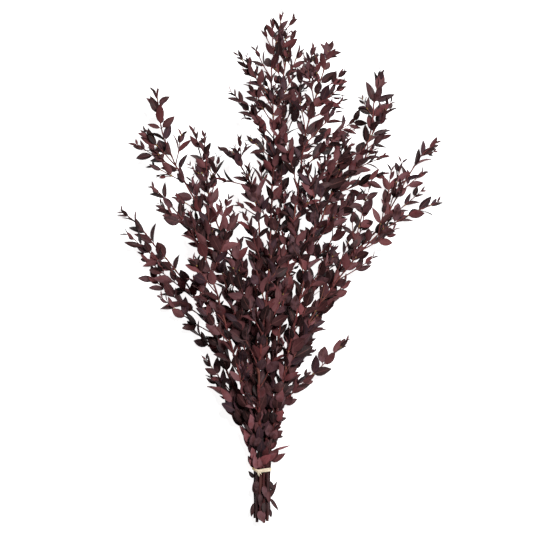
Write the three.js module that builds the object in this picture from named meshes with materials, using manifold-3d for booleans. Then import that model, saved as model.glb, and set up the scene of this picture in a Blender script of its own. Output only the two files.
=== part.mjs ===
// A bunch of preserved small-leaved eucalyptus, dyed burgundy, lying on a flat surface.
// Thirteen branched leafy stems are held by one raffia tie near their cut ends.
// Millimetres. X runs across the bunch, Y from the cut ends to the tips, Z up from the surface.
import * as THREE from 'three';
import { mergeVertices } from 'three/addons/utils/BufferGeometryUtils.js';
import Module from 'manifold-3d';

const wasm = await Module();
wasm.setup();

// Places below are measured from the middle of the tie, and heights from the surface.
// The tie's middle lies this far to the left of the middle of the bunch, and this far below it.
const TIE_PLACE = { left: 27.9, below: 275.5 };
const BUNDLE_HEIGHT = 10; // middle of the tied bundle above the surface
const CUT_END_GATHER = 0.96; // the bundle is this much narrower at the cut ends
const NECK = { height: 24, spread: 0.16 }; // above the tie, where the stems begin to part

// Stems and the shoots on their sides
const STEM = { cutRadius: 2.1, tipRadius: 0.7, sides: 4, ringsPerSpan: 2 };
const SHOOT = {
  baseRadius: 1,
  tipRadius: 0.5,
  sides: 3,
  short: 65, // shoots up to this length have two straight runs, longer ones three
  bow: [-0.02, 0.12], // how far a shoot bends away from its stem, as a share of its reach
  arch: 0.06, // and how far up
  lowestTip: 5,
  restingTip: 0.65,
};

// Leaves. A pair is counted from the tip of its shoot, where the youngest leaves are.
const LEAF = {
  length: 27,
  lengthRange: [0.84, 1.14],
  widthRange: [0.36, 0.54],
  young: 0.44, // the length of the youngest pair, as a share of a full-grown one
  growth: 0.22, // and what each older pair adds
  narrow: 0.7, // the youngest pair's share of width, next to that of a full-grown one
  widening: 0.1, // and what each older pair adds
  keel: 1.3, // a blade's thickness along its midrib
  arch: 0.07,
  small: 18, // blades shorter than this have one width, not two
  opening: { young: 28, perPair: 3, most: 38, range: [-14, 18] },
  phase: 40, // how far a shoot's pairs are turned from level, at most
  sway: 16,
  roll: 44,
  turnedToLight: 0.52, // how far a blade's face has turned up on its stalk
};
const RESTING_LEAF = { open: 34, lengthRange: [0.8, 0.9], width: 0.42, between: 2 };
const BASAL_LEAF = { arch: 0.04, roll: 12 };
const SPACING = { youngest: 6, perPair: 3, onShoot: 14.5, onStem: 19, range: [0.85, 1.2] };
const BARE = { tip: 1, shoot: 12, aboveTie: 16 }; // lengths with no leaves
const CARRIED = { onShoot: { every: 5, pairs: [0, 3] }, onStem: { every: 6, pairs: [0] } };

// The ways that a shoot or a leaf is tried in, to keep clear of what has its place already
const SHOOT_LIFTS = [0, 7, -7, 14, -14, 21, -21, 28, -28];
const LEAF_TURNS = [0, 22, -22, 44, -44, 66, -66, 88, -88];
const LEAF_CLOSINGS = [1, 0.6, 0.35];
const CLEARANCE = 0.4;
const SURFACE_SLACK = 0.3; // a piece made larger by the clearance may reach this far under the surface

// The raffia tie: a band round the bundle, pressed flat underneath, with a knot and two cut tails
const TIE = {
  innerWide: 12.8,
  innerHigh: 9.1,
  squareness: 2.6,
  thickness: 1.2,
  width: 5,
  sides: 20,
  knot: { x: -6.5, y: -0.5, wide: 7, long: 6, high: 3.4, sunk: 0.35 },
  tail: { wide: 2.2, thick: 0.8, drop: 8, above: 0.6 },
  tails: [{ turn: -100, long: 9 }, { turn: -62, long: 7 }],
};

const COLOURS = { leaf: 0x4d3235, raffia: 0xdcc9a4 };
const SEED = 20417;
const MERGE_DISTANCE = 0.06;
const HEIGHT_STEPS = 400; // for finding where a stem passes a height

// Each stem: where it passes the tie, the points that it grows through, and its side shoots. `leaf` is
// the size of its leaves and `gap` the spacing of their pairs, both 1 for the usual one.
// A shoot leaves the stem where it passes the height y of `from`. `tip` is the x and y of its end,
// and `rise` is how far that lies above its foot. A resting shoot has sunk to the surface.
const STEMS = [
  {
    name: 'stem_tall',
    tie: [0, 0],
    cut: 70,
    leaf: 0.88,
    gap: 1,
    path: [[5, 100, 22], [8, 231, 38], [13, 366, 46], [16, 460, 44], [13, 541, 38], [27, 616, 30]],
    shoots: [
      { from: 568, tip: [3, 594], rise: 3 },
      { from: 560, tip: [14, 606], rise: 5 },
      { from: 585, tip: [42, 610], rise: 3 },
      { from: 530, tip: [-8, 568], rise: 8 },
      { from: 470, tip: [-16, 520], rise: 6 },
      { from: 490, tip: [-20, 552], rise: -4 },
      { from: 505, tip: [-31, 562], rise: 6 },
      { from: 450, tip: [-42, 514], rise: -4 },
      { from: 545, tip: [35, 592], rise: 4 },
      { from: 480, tip: [40, 530], rise: 6 },
      { from: 430, tip: [-10, 488], rise: 8 },
      { from: 420, tip: [-14, 447], rise: 10 },
      { from: 395, tip: [25, 470], rise: 12 },
      { from: 330, tip: [-20, 400], rise: -8 },
      { from: 300, tip: [35, 375], rise: 10 },
      { from: 250, tip: [-15, 330], rise: 12 },
      { from: 200, tip: [30, 280], rise: -10 },
    ],
  },
  {
    name: 'stem_tall_right',
    tie: [2.5, -5.4],
    cut: 66,
    leaf: 0.88,
    gap: 1,
    path: [[9, 100, 12], [18, 231, 18], [25, 366, 22], [29, 460, 24], [30, 541, 22], [41, 592, 20]],
    shoots: [
      { from: 525, tip: [50, 568], rise: 4 },
      { from: 500, tip: [20, 560], rise: 8 },
      { from: 545, tip: [24, 586], rise: 4 },
      { from: 478, tip: [4, 530], rise: -4 },
      { from: 465, tip: [70, 570], rise: 10 },
      { from: 425, tip: [126, 475], resting: true },
      { from: 440, tip: [52, 505], rise: 6 },
      { from: 400, tip: [60, 440], rise: -4 },
      { from: 380, tip: [-2, 440], rise: -6 },
      { from: 300, tip: [52, 380], rise: 4 },
      { from: 240, tip: [44, 318], rise: 6 },
      { from: 180, tip: [38, 262], rise: 6 },
    ],
  },
  {
    name: 'stem_upper_right',
    tie: [2.5, 5.4],
    cut: 72,
    leaf: 0.92,
    gap: 1,
    path: [[12, 100, 38], [34, 270, 64], [51, 400, 70], [62, 470, 66], [80, 530, 58], [91, 574, 52]],
    shoots: [
      { from: 476, tip: [108, 500], rise: -6 },
      { from: 490, tip: [106, 518], rise: 4 },
      { from: 508, tip: [108, 536], rise: 8 },
      { from: 498, tip: [60, 550], rise: 6 },
      { from: 520, tip: [72, 558], rise: -4 },
      { from: 455, tip: [50, 505], rise: 6 },
      { from: 440, tip: [98, 485], rise: -12 },
      { from: 405, tip: [100, 452], rise: 4 },
      { from: 380, tip: [30, 450], rise: 8 },
      { from: 360, tip: [92, 428], rise: -8 },
      { from: 330, tip: [80, 400], rise: 6 },
      { from: 260, tip: [70, 330], rise: 10 },
      { from: 200, tip: [20, 290], rise: 8 },
    ],
  },
  {
    name: 'stem_right_spire',
    tie: [5, 0],
    cut: 68,
    leaf: 1.0,
    gap: 1,
    path: [
      [22, 96, 24], [51, 245, 40], [92, 370, 46], [127, 418, 46],
      [146, 455, 44], [152, 500, 40], [160, 536, 36],
    ],
    shoots: [
      { from: 440, tip: [174, 498], rise: -6 },
      { from: 430, tip: [165, 455], rise: -10 },
      { from: 405, tip: [163, 425], rise: -14 },
      { from: 375, tip: [162, 402], rise: -6 },
      { from: 365, tip: [112, 452], rise: -12 },
      { from: 300, tip: [120, 374], rise: -12 },
      { from: 382, tip: [150, 434], rise: 8 },
      { from: 350, tip: [115, 438], rise: 8 },
      { from: 320, tip: [62, 400], rise: -8 },
      { from: 352, tip: [128, 408], rise: -10 },
      { from: 330, tip: [134, 372], rise: 6 },
      { from: 230, tip: [95, 300], rise: 6 },
      { from: 270, tip: [106, 328], rise: 8 },
      { from: 180, tip: [35, 260], rise: 8 },
      { from: 130, tip: [66, 200], rise: -6 },
    ],
  },
  {
    name: 'stem_far_right',
    tie: [7.5, -5.4],
    cut: 64,
    leaf: 0.95,
    gap: 1.3,
    path: [
      [25, 90, 10], [58, 190, 14], [113, 281, 16], [160, 330, 16],
      [187, 378, 14], [214, 424, 12], [236, 445, 10],
    ],
    shoots: [
      { from: 378, tip: [218, 404], rise: -4 },
      { from: 352, tip: [190, 418], rise: 6 },
      { from: 340, tip: [176, 407], rise: -2 },
      { from: 335, tip: [216, 379], rise: 2 },
      { from: 322, tip: [181, 345], resting: true },
      { from: 300, tip: [141, 355], rise: 6 },
      { from: 240, tip: [90, 302], rise: 4 },
      { from: 255, tip: [134, 312], rise: 2 },
      { from: 150, tip: [68, 204], rise: 2 },
      { from: 100, tip: [52, 150], rise: 4 },
    ],
  },
  {
    name: 'stem_low_right',
    tie: [10, 0],
    cut: 60,
    leaf: 0.98,
    gap: 1.25,
    path: [
      [19, 75, 15], [37, 140, 23], [63, 200, 32], [99, 254, 38],
      [147, 311, 38], [190, 342, 34], [238, 364, 26],
    ],
    shoots: [
      { from: 88, tip: [115, 175], rise: -4 },
      { from: 78, tip: [58, 128], rise: 8 },
      { from: 195, tip: [114, 256], rise: -8 },
      { from: 170, tip: [96, 232], rise: 10 },
      { from: 130, tip: [76, 208], rise: 8 },
      { from: 258, tip: [150, 288], rise: -10 },
      { from: 300, tip: [178, 326], rise: -6 },
      { from: 288, tip: [122, 345], rise: 8 },
      { from: 248, tip: [120, 318], rise: 8 },
      { from: 284, tip: [149, 394], rise: -6 },
      { from: 320, tip: [166, 360], rise: 6 },
      { from: 225, tip: [96, 298], rise: 10 },
    ],
  },
  {
    name: 'stem_left_spire',
    tie: [-10, 0],
    cut: 66,
    leaf: 1.0,
    gap: 1.12,
    path: [
      [-18, 90, 22], [-35, 190, 36], [-54, 270, 40], [-84, 352, 40],
      [-117, 415, 36], [-136, 462, 32], [-143, 512, 28],
    ],
    shoots: [
      { from: 408, tip: [-169, 441], rise: -4 },
      { from: 412, tip: [-158, 458], rise: -6 },
      { from: 414, tip: [-109, 455], rise: 6 },
      { from: 390, tip: [-146, 413], rise: -8 },
      { from: 350, tip: [-112, 368], rise: 8 },
      { from: 335, tip: [-95, 392], rise: -8 },
      { from: 318, tip: [-70, 372], rise: 8 },
      { from: 300, tip: [-102, 340], rise: 10 },
      { from: 270, tip: [-92, 322], rise: -6 },
      { from: 230, tip: [-30, 308], rise: 8 },
      { from: 180, tip: [-75, 240], rise: 8 },
      { from: 130, tip: [-25, 222], rise: 6 },
    ],
  },
  {
    name: 'stem_left_middle',
    tie: [-2.5, -5.4],
    cut: 69,
    leaf: 0.95,
    gap: 1.08,
    path: [
      [-6, 95, 12], [-18, 200, 18], [-38, 285, 20], [-60, 333, 20],
      [-73, 380, 20], [-84, 430, 18], [-92, 460, 16],
    ],
    shoots: [
      { from: 385, tip: [-78, 452], rise: 10 },
      { from: 366, tip: [-60, 424], rise: 4 },
      { from: 345, tip: [-84, 412], rise: -4 },
      { from: 328, tip: [-46, 368], rise: 6 },
      { from: 306, tip: [-36, 346], rise: -2 },
      { from: 290, tip: [-95, 345], rise: -6 },
      { from: 240, tip: [-78, 300], rise: 2 },
      { from: 268, tip: [-82, 335], rise: 8 },
      { from: 200, tip: [2, 290], rise: 2 },
      { from: 150, tip: [-46, 232], rise: 4 },
      { from: 95, tip: [8, 185], rise: 4 },
    ],
  },
  {
    name: 'stem_left',
    tie: [-7.5, 5.4],
    cut: 71,
    leaf: 1.0,
    gap: 1,
    path: [
      [-16, 75, 34], [-40, 165, 58], [-68, 265, 68],
      [-85, 306, 66], [-118, 354, 60], [-146, 383, 52],
    ],
    shoots: [
      { from: 325, tip: [-136, 360], rise: -8 },
      { from: 300, tip: [-95, 345], rise: 10 },
      { from: 265, tip: [-42, 342], rise: 8 },
      { from: 285, tip: [-72, 356], rise: -6 },
      { from: 240, tip: [-92, 285], rise: 8 },
      { from: 200, tip: [-92, 258], rise: -8 },
      { from: 170, tip: [-84, 228], rise: 6 },
      { from: 150, tip: [-22, 250], rise: 10 },
      { from: 130, tip: [-68, 190], rise: -10 },
      { from: 95, tip: [-10, 165], rise: 8 },
      { from: 55, tip: [-60, 120], rise: -8 },
    ],
  },
  {
    name: 'stem_far_left',
    tie: [-7.5, -5.4],
    cut: 62,
    leaf: 0.98,
    gap: 1.15,
    path: [
      [-22, 70, 9], [-46, 130, 12], [-70, 196, 14], [-101, 250, 14],
      [-127, 283, 13], [-149, 309, 12], [-172, 337, 10], [-190, 350, 8],
    ],
    shoots: [
      { from: 255, tip: [-182, 321], rise: 4 },
      { from: 232, tip: [-162, 292], rise: -2 },
      { from: 205, tip: [-148, 259], resting: true },
      { from: 185, tip: [-136, 234], rise: -2 },
      { from: 150, tip: [-98, 196], rise: -4 },
      { from: 222, tip: [-88, 284], rise: 8 },
      { from: 140, tip: [-58, 222], rise: 8 },
      { from: 90, tip: [-76, 150], rise: 2 },
      { from: 65, tip: [-68, 124], rise: -2 },
      { from: 40, tip: [-50, 96], rise: 4 },
    ],
  },
  {
    name: 'stem_centre_left',
    tie: [-5, 0],
    cut: 67,
    leaf: 0.95,
    gap: 1,
    path: [
      [-5, 100, 24], [-8, 230, 34], [-4, 330, 38], [-12, 375, 40],
      [-24, 405, 40], [-38, 426, 38], [-53, 434, 34],
    ],
    shoots: [
      { from: 412, tip: [-30, 446], rise: 8 },
      { from: 385, tip: [-56, 396], rise: -6 },
      { from: 345, tip: [-30, 360], rise: -6 },
      { from: 352, tip: [0, 412], rise: -8 },
      { from: 350, tip: [-18, 408], rise: 8 },
      { from: 300, tip: [-22, 345], rise: 10 },
      { from: 262, tip: [-6, 306], rise: 14 },
      { from: 225, tip: [-30, 292], rise: 6 },
      { from: 160, tip: [-30, 240], rise: -4 },
    ],
  },
  {
    name: 'stem_centre_front',
    tie: [-2.5, 5.4],
    cut: 65,
    leaf: 1.0,
    gap: 1,
    path: [[-4, 90, 46], [-4, 140, 60], [2, 200, 74], [8, 258, 80], [14, 308, 78]],
    shoots: [
      { from: 140, tip: [-40, 225], rise: 10 },
      { from: 185, tip: [-42, 284], rise: 6 },
      { from: 170, tip: [32, 248], rise: 6 },
      { from: 225, tip: [-12, 290], rise: 6 },
      { from: 110, tip: [24, 168], rise: 8 },
      { from: 75, tip: [-26, 140], rise: 8 },
      { from: 250, tip: [38, 308], rise: 2 },
    ],
  },
  {
    name: 'stem_front_right',
    tie: [7.5, 5.4],
    cut: 70,
    leaf: 1.03,
    gap: 1,
    path: [
      [15, 55, 33], [27, 116, 54], [40, 184, 70], [55, 252, 76],
      [68, 313, 74], [79, 367, 70], [99, 414, 64], [114, 430, 60],
    ],
    shoots: [
      { from: 230, tip: [94, 290], rise: 8 },
      { from: 180, tip: [74, 252], rise: 6 },
      { from: 130, tip: [64, 198], rise: 6 },
      { from: 262, tip: [42, 335], rise: 8 },
      { from: 310, tip: [108, 345], rise: -6 },
      { from: 350, tip: [60, 408], rise: 4 },
      { from: 90, tip: [43, 150], rise: 4 },
      { from: 60, tip: [14, 120], rise: 10 },
    ],
  },
];

// Leaves that grow close to the tie, above and below it, facing up. `turn` is the side that a leaf
// grows to, seen from the cut ends: 0 to the right, 90 up. `open` is its angle from the stem, and over
// 90 it points back to the cut ends. `wide` is its width as a share of its length.
const BASAL_LEAVES = [
  { stem: 'stem_low_right', at: 10, turn: -8, open: 60, length: 26, wide: 0.36 },
  { stem: 'stem_front_right', at: 12, turn: 32, open: 42, length: 26, wide: 0.46 },
  { stem: 'stem_upper_right', at: 15, turn: 80, open: 24, length: 23, wide: 0.42 },
  { stem: 'stem_centre_front', at: 7, turn: 100, open: 22, length: 24, wide: 0.44 },
  { stem: 'stem_left', at: 11, turn: 132, open: 22, length: 23, wide: 0.46 },
  { stem: 'stem_left_spire', at: 4, turn: 170, open: 30, length: 18, wide: 0.45 },
  { stem: 'stem_left_spire', at: 25, turn: 176, open: 25, length: 29, wide: 0.34 },
  { stem: 'stem_left_spire', at: -12, turn: 168, open: 41, length: 14, wide: 0.42 },
  { stem: 'stem_left', at: -34, turn: 124, open: 23, length: 20, wide: 0.5 },
  { stem: 'stem_left_spire', at: -43, turn: 165, open: 166, length: 22, wide: 0.33 },
  { stem: 'stem_centre_front', at: -53, turn: 62, open: 155, length: 20, wide: 0.62 },
  { stem: 'stem_upper_right', at: -20, turn: 72, open: 156, length: 19, wide: 0.42 },
  { stem: 'stem_low_right', at: -14, turn: 26, open: 156, length: 16, wide: 0.45 },
  { stem: 'stem_low_right', at: -41, turn: 8, open: 23, length: 28, wide: 0.22 },
  { stem: 'stem_low_right', at: -37, turn: -5, open: 146, length: 24, wide: 0.22 },
];

// What a random draw is for
const DRAW = {
  length: 1, width: 2, phase: 3, sway: 4, open: 5, roll: 6, spacing: 7, resting: 8, basal: 9, bow: 20,
};

// A number from 0 to 1 that depends only on its keys, so every leaf keeps its own draws
function draw(...keys) {
  let hash = SEED;
  for (const key of keys) {
    hash = Math.imul(hash ^ (key + 0x9e3779b9), 0x85ebca6b);
    hash ^= hash >>> 13;
    hash = Math.imul(hash, 0xc2b2ae35);
    hash ^= hash >>> 16;
  }
  return (hash >>> 0) / 2 ** 32;
}

const spread = ([low, high], ...keys) => low + (high - low) * draw(...keys);
const either = (most) => [-most, most];
const radians = THREE.MathUtils.degToRad;
const UP = new THREE.Vector3(0, 0, 1);

function toSolid(geometry) {
  geometry.deleteAttribute('normal');
  geometry.deleteAttribute('uv');
  const merged = mergeVertices(geometry, 1e-4);
  const solid = new wasm.Manifold(new wasm.Mesh({
    numProp: 3,
    vertProperties: merged.attributes.position.array,
    triVerts: new Uint32Array(merged.index.array),
  }));
  merged.computeBoundingBox();
  return { solid, box: merged.boundingBox };
}

function toGeometry(solid) {
  const mesh = solid.getMesh();
  const geometry = new THREE.BufferGeometry();
  geometry.setAttribute('position', new THREE.BufferAttribute(mesh.vertProperties, 3));
  geometry.setIndex(new THREE.BufferAttribute(mesh.triVerts, 1));
  geometry.computeVertexNormals();
  return geometry;
}

// Several solids in one, without what is left loose
function join(solids) {
  const whole = solids.reduce((joined, solid) => joined.add(solid)).simplify(MERGE_DISTANCE);
  return whole.decompose().reduce((most, body) => (body.volume() > most.volume() ? body : most));
}

// The nearest point to a place on the straight runs between a tube's rings
function ontoWood(centres, place) {
  const nearest = new THREE.Vector3();
  const trial = new THREE.Vector3();
  let shortest = Infinity;
  for (let i = 1; i < centres.length; i++) {
    new THREE.Line3(centres[i - 1], centres[i]).closestPointToPoint(place, true, trial);
    const distance = trial.distanceTo(place);
    if (distance < shortest) {
      shortest = distance;
      nearest.copy(trial);
    }
  }
  return nearest;
}

// A tapering round of few sides along a curve, closed at both ends
function taperedTube(curve, sides, steps, baseRadius, tipRadius) {
  const section = new THREE.Shape();
  for (let i = 0; i < sides; i++) {
    const angle = (i / sides) * 2 * Math.PI;
    section[i ? 'lineTo' : 'moveTo'](Math.cos(angle), Math.sin(angle));
  }
  const tube = new THREE.ExtrudeGeometry(section, { steps, extrudePath: curve, bevelEnabled: false });
  const centres = curve.getSpacedPoints(steps);
  const places = tube.getAttribute('position');
  const point = new THREE.Vector3();
  for (let i = 0; i < places.count; i++) {
    point.fromBufferAttribute(places, i);
    const distances = centres.map((centre) => centre.distanceToSquared(point));
    const ring = distances.indexOf(Math.min(...distances));
    const radius = THREE.MathUtils.lerp(baseRadius, tipRadius, ring / steps);
    point.sub(centres[ring]).multiplyScalar(radius).add(centres[ring]);
    places.setXYZ(i, point.x, point.y, point.z);
  }
  return tube;
}

// A thin blade with a keel under its midrib, from its root on a shoot's axis to its point. It is
// widest at a third of its length and arched along it. A blade can be made a little larger all round.
function blade(leaf, grown = 0) {
  const { root, along, normal, length, width, arch } = leaf;
  const side = new THREE.Vector3().crossVectors(normal, along);
  const half = LEAF.keel / 2 + grown;
  const stations = length < LEAF.small ? [[0.45, 0.5]] : [[0.34, 0.5], [0.72, 0.37]];
  const corners = [];
  const corner = (x, y, z) => corners.push(
    root.x + along.x * x + side.x * y + normal.x * z,
    root.y + along.y * x + side.y * y + normal.y * z,
    root.z + along.z * x + side.z * y + normal.z * z,
  );
  corner(-grown, 0, 0);
  for (const [share, wide] of stations) {
    const lift = 4 * share * (1 - share) * arch * length;
    corner(share * length, wide * width + grown, lift + half);
    corner(share * length, -wide * width - grown, lift + half);
    corner(share * length, 0, lift - half);
  }
  corner(length + 2 * grown, 0, 0);
  const last = 3 * stations.length - 2;
  const tip = last + 3;
  const faces = [0, 2, 1, 0, 3, 2, 0, 1, 3];
  if (stations.length === 2) faces.push(1, 2, 5, 1, 5, 4, 2, 3, 6, 2, 6, 5, 3, 1, 4, 3, 4, 6);
  faces.push(last, last + 1, tip, last + 1, last + 2, tip, last + 2, last, tip);
  const geometry = new THREE.BufferGeometry();
  geometry.setAttribute('position', new THREE.Float32BufferAttribute(corners, 3));
  geometry.setIndex(faces);
  return geometry;
}

// Where a curve that runs up the bunch passes the height y, as a share of its length
function shareAtHeight(curve, y) {
  const points = curve.getSpacedPoints(HEIGHT_STEPS);
  const next = points.findIndex((point) => point.y > y);
  const before = points[next - 1];
  return (next - 1 + (y - before.y) / (points[next].y - before.y)) / HEIGHT_STEPS;
}

function stemCurve(stem) {
  const [x, z] = stem.tie;
  const cut = new THREE.Vector3(x * CUT_END_GATHER, -stem.cut, BUNDLE_HEIGHT + z * CUT_END_GATHER);
  const tied = new THREE.Vector3(x, 0, BUNDLE_HEIGHT + z);
  const path = stem.path.map((place) => new THREE.Vector3(...place));
  const neck = tied.clone().lerp(path[0], NECK.spread).setY(NECK.height);
  return new THREE.CatmullRomCurve3([cut, tied, neck, ...path], false, 'catmullrom', 0.5);
}

// A stem's line with its rings spaced as its points are, closest at the tie
class RingedAtPoints extends THREE.Curve {
  constructor(line) {
    super();
    this.line = line;
    this.rings = STEM.ringsPerSpan * (line.points.length - 1);
  }

  getPointAt(t) {
    return this.line.getPoint(t);
  }

  getTangentAt(t) {
    return this.line.getTangent(t);
  }

  get centres() {
    return this.getSpacedPoints(this.rings);
  }
}

const shootRuns = (line) => (line.getLength() > SHOOT.short ? 3 : 2);

function shootTube(line, grown = 0) {
  return taperedTube(line, SHOOT.sides, shootRuns(line), SHOOT.baseRadius + grown, SHOOT.tipRadius + grown);
}

// A side shoot bows a little away from its stem before it turns up
function shootCurve(stemLine, centres, shoot, lift, bow) {
  const share = shareAtHeight(stemLine, shoot.from);
  const base = ontoWood(centres, stemLine.getPointAt(share));
  const stemward = stemLine.getTangentAt(share);
  const height = shoot.resting ? SHOOT.restingTip : Math.max(base.z + shoot.rise + lift, SHOOT.lowestTip);
  const tip = new THREE.Vector3(...shoot.tip, height);
  const reach = base.distanceTo(tip);
  const bend = base.clone().lerp(tip, 0.5).addScaledVector(stemward, -bow * reach);
  bend.z += SHOOT.arch * reach;
  return new THREE.QuadraticBezierCurve3(base, bend, tip);
}

// Opposite leaves, each pair turned a quarter from the last, from the tip down to where the wood
// is bare. keys tell one shoot's draws from another's.
function leafPlaces(line, centres, keys, { leaf: size, gap: spaced }, bare, spacing) {
  const length = line.getLength();
  const places = [];
  let distance = length - BARE.tip;
  for (let pair = 0; distance > bare; pair++) {
    for (const side of [0, 1]) {
      places.push({ line, centres, keys, pair, side, at: distance / length, size });
    }
    const gap = Math.min(spacing, SPACING.youngest + SPACING.perPair * (pair + 1));
    distance -= gap * spaced * spread(SPACING.range, ...keys, pair, DRAW.spacing);
  }
  return places;
}

// The directions across and above a shoot where it runs forward
function axes(forward) {
  const across = new THREE.Vector3().crossVectors(forward, UP).normalize();
  return [across, new THREE.Vector3().crossVectors(across, forward)];
}

// The way that a leaf leaves its shoot: turn is round the shoot, open is away from it
function leafDirection(forward, turn, open) {
  const [across, above] = axes(forward);
  const outward = across.multiplyScalar(Math.cos(turn)).addScaledVector(above, Math.sin(turn));
  return forward.clone().multiplyScalar(Math.cos(open)).addScaledVector(outward, Math.sin(open));
}

// The part of a direction that is square to another
const squareTo = (along, direction) => direction.clone()
  .addScaledVector(along, -direction.dot(along)).normalize();

// The place and the sizes of one leaf. turned and closed change its pose to keep clear of others.
function growLeaf({ line, centres, keys, pair, side, at, size }, turned, closed) {
  const own = [...keys, pair, side];
  const forward = line.getTangentAt(at);
  const growth = Math.min(1, LEAF.young + LEAF.growth * pair);
  const length = LEAF.length * size * growth * spread(LEAF.lengthRange, ...own, DRAW.length);
  const widened = Math.min(1, LEAF.narrow + LEAF.widening * pair);
  const width = length * widened * spread(LEAF.widthRange, ...own, DRAW.width);
  const turn = spread(either(LEAF.phase), ...keys, DRAW.phase) + 90 * pair + 180 * side
    + spread(either(LEAF.sway), ...own, DRAW.sway) + turned;
  const open = Math.min(LEAF.opening.most, LEAF.opening.young + LEAF.opening.perPair * pair)
    + spread(LEAF.opening.range, ...own, DRAW.open);
  const along = leafDirection(forward, radians(turn), radians(open) * closed);
  const normal = squareTo(along, forward);
  const lit = squareTo(along, UP);
  if (lit.dot(normal) < 0) lit.negate();
  normal.lerp(lit, LEAF.turnedToLight).normalize();
  normal.applyAxisAngle(along, radians(spread(either(LEAF.roll), ...own, DRAW.roll)));
  return { root: ontoWood(centres, line.getPointAt(at)), along, normal, length, width, arch: LEAF.arch };
}

// One of the two leaves at the end of a shoot that has sunk to the surface: it lies flat there
function restingLeaf({ line, centres, keys, side, at, size }) {
  const length = LEAF.length * size * spread(RESTING_LEAF.lengthRange, ...keys, side, DRAW.resting);
  const forward = line.getTangentAt(1).setZ(0).normalize();
  const root = ontoWood(centres, line.getPointAt(at - (side * RESTING_LEAF.between) / line.getLength()));
  return {
    root: root.setZ(LEAF.keel / 2),
    along: forward.applyAxisAngle(UP, radians(side ? -RESTING_LEAF.open : RESTING_LEAF.open)),
    normal: UP.clone().negate(),
    length,
    width: length * RESTING_LEAF.width,
    arch: 0,
  };
}

function basalLeaf(spec, index, line, centres) {
  const share = shareAtHeight(line, spec.at);
  const forward = line.getTangentAt(share);
  const along = leafDirection(forward, radians(spec.turn), radians(spec.open));
  const normal = squareTo(along, UP);
  normal.applyAxisAngle(along, radians(spread(either(BASAL_LEAF.roll), index, DRAW.basal)));
  return {
    root: ontoWood(centres, line.getPointAt(share)),
    along,
    normal,
    length: spec.length,
    width: spec.length * spec.wide,
    arch: BASAL_LEAF.arch,
  };
}

// Not every leaf is in the solids. A shoot keeps one leaf of two pairs in five, which stand on all
// four sides of it in turn, and a stem one leaf of every sixth pair, on either side in turn.
function isCarried({ pair, side, keys }) {
  const { every, pairs } = keys[1] === 0 ? CARRIED.onStem : CARRIED.onShoot;
  return pairs.includes(pair % every) && side === Math.floor(pair / every) % 2;
}

// Everything that has its place already
const placed = [];

function place(node, shoot, kind, made) {
  placed.push({ node, shoot, kind, ...made });
}

// The name of what a solid runs into, apart from what it is allowed to touch
function whatItCrosses(candidate, allowed) {
  if (candidate.box.min.z < -SURFACE_SLACK) return 'the surface';
  return placed.find((piece) => {
    if (allowed(piece) || !piece.box.intersectsBox(candidate.box)) return false;
    return !piece.solid.intersect(candidate.solid).isEmpty();
  })?.node;
}

// The first of several ways to make a piece that keeps clear of all that it isn't allowed to touch
function firstClear(ways, make, allowed) {
  return ways.find((way) => !whatItCrosses(toSolid(make(way, CLEARANCE)), allowed));
}

function tieOutline(wide, high) {
  const points = [];
  const power = (value) => Math.sign(value) * Math.abs(value) ** (2 / TIE.squareness);
  for (let i = 0; i < TIE.sides; i++) {
    const angle = ((i + 0.5) / TIE.sides) * 2 * Math.PI;
    const z = BUNDLE_HEIGHT + high * power(Math.sin(angle));
    points.push(new THREE.Vector2(wide * power(Math.cos(angle)), Math.max(z, 0)));
  }
  return points;
}

function makeTie() {
  const { innerWide, innerHigh, thickness, width, knot, tail } = TIE;
  const ring = new THREE.Shape(tieOutline(innerWide + thickness, innerHigh + thickness));
  ring.holes.push(new THREE.Path(tieOutline(innerWide, innerHigh)));
  const band = new THREE.ExtrudeGeometry(ring, { depth: width, bevelEnabled: false });
  band.rotateX(Math.PI / 2).translate(0, width / 2, 0);
  const top = BUNDLE_HEIGHT + innerHigh + thickness - knot.sunk;
  const ball = new THREE.SphereGeometry(0.5, 8, 5).scale(knot.wide, knot.long, knot.high);
  const solids = [toSolid(band).solid, toSolid(ball.translate(knot.x, knot.y, top)).solid];
  for (const { turn, long } of TIE.tails) {
    const strip = new THREE.BoxGeometry(long, tail.wide, tail.thick).translate(long / 2, 0, 0);
    strip.rotateY(radians(tail.drop)).rotateZ(radians(turn)).translate(knot.x, knot.y, top + tail.above);
    solids.push(toSolid(strip).solid);
  }
  return toSolid(toGeometry(join(solids)));
}

// The stems go in first, then their shoots, and the leaves last
function growStems() {
  return STEMS.map((stem, number) => {
    const line = stemCurve(stem);
    const ringed = new RingedAtPoints(line);
    const tube = toSolid(taperedTube(ringed, STEM.sides, ringed.rings, STEM.cutRadius, STEM.tipRadius));
    const crossed = whatItCrosses(tube, () => false);
    if (crossed) throw new Error(`${stem.name} crosses ${crossed}`);
    place(stem.name, 0, 'wood', tube);
    return { stem, number, line, centres: ringed.centres };
  });
}

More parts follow.
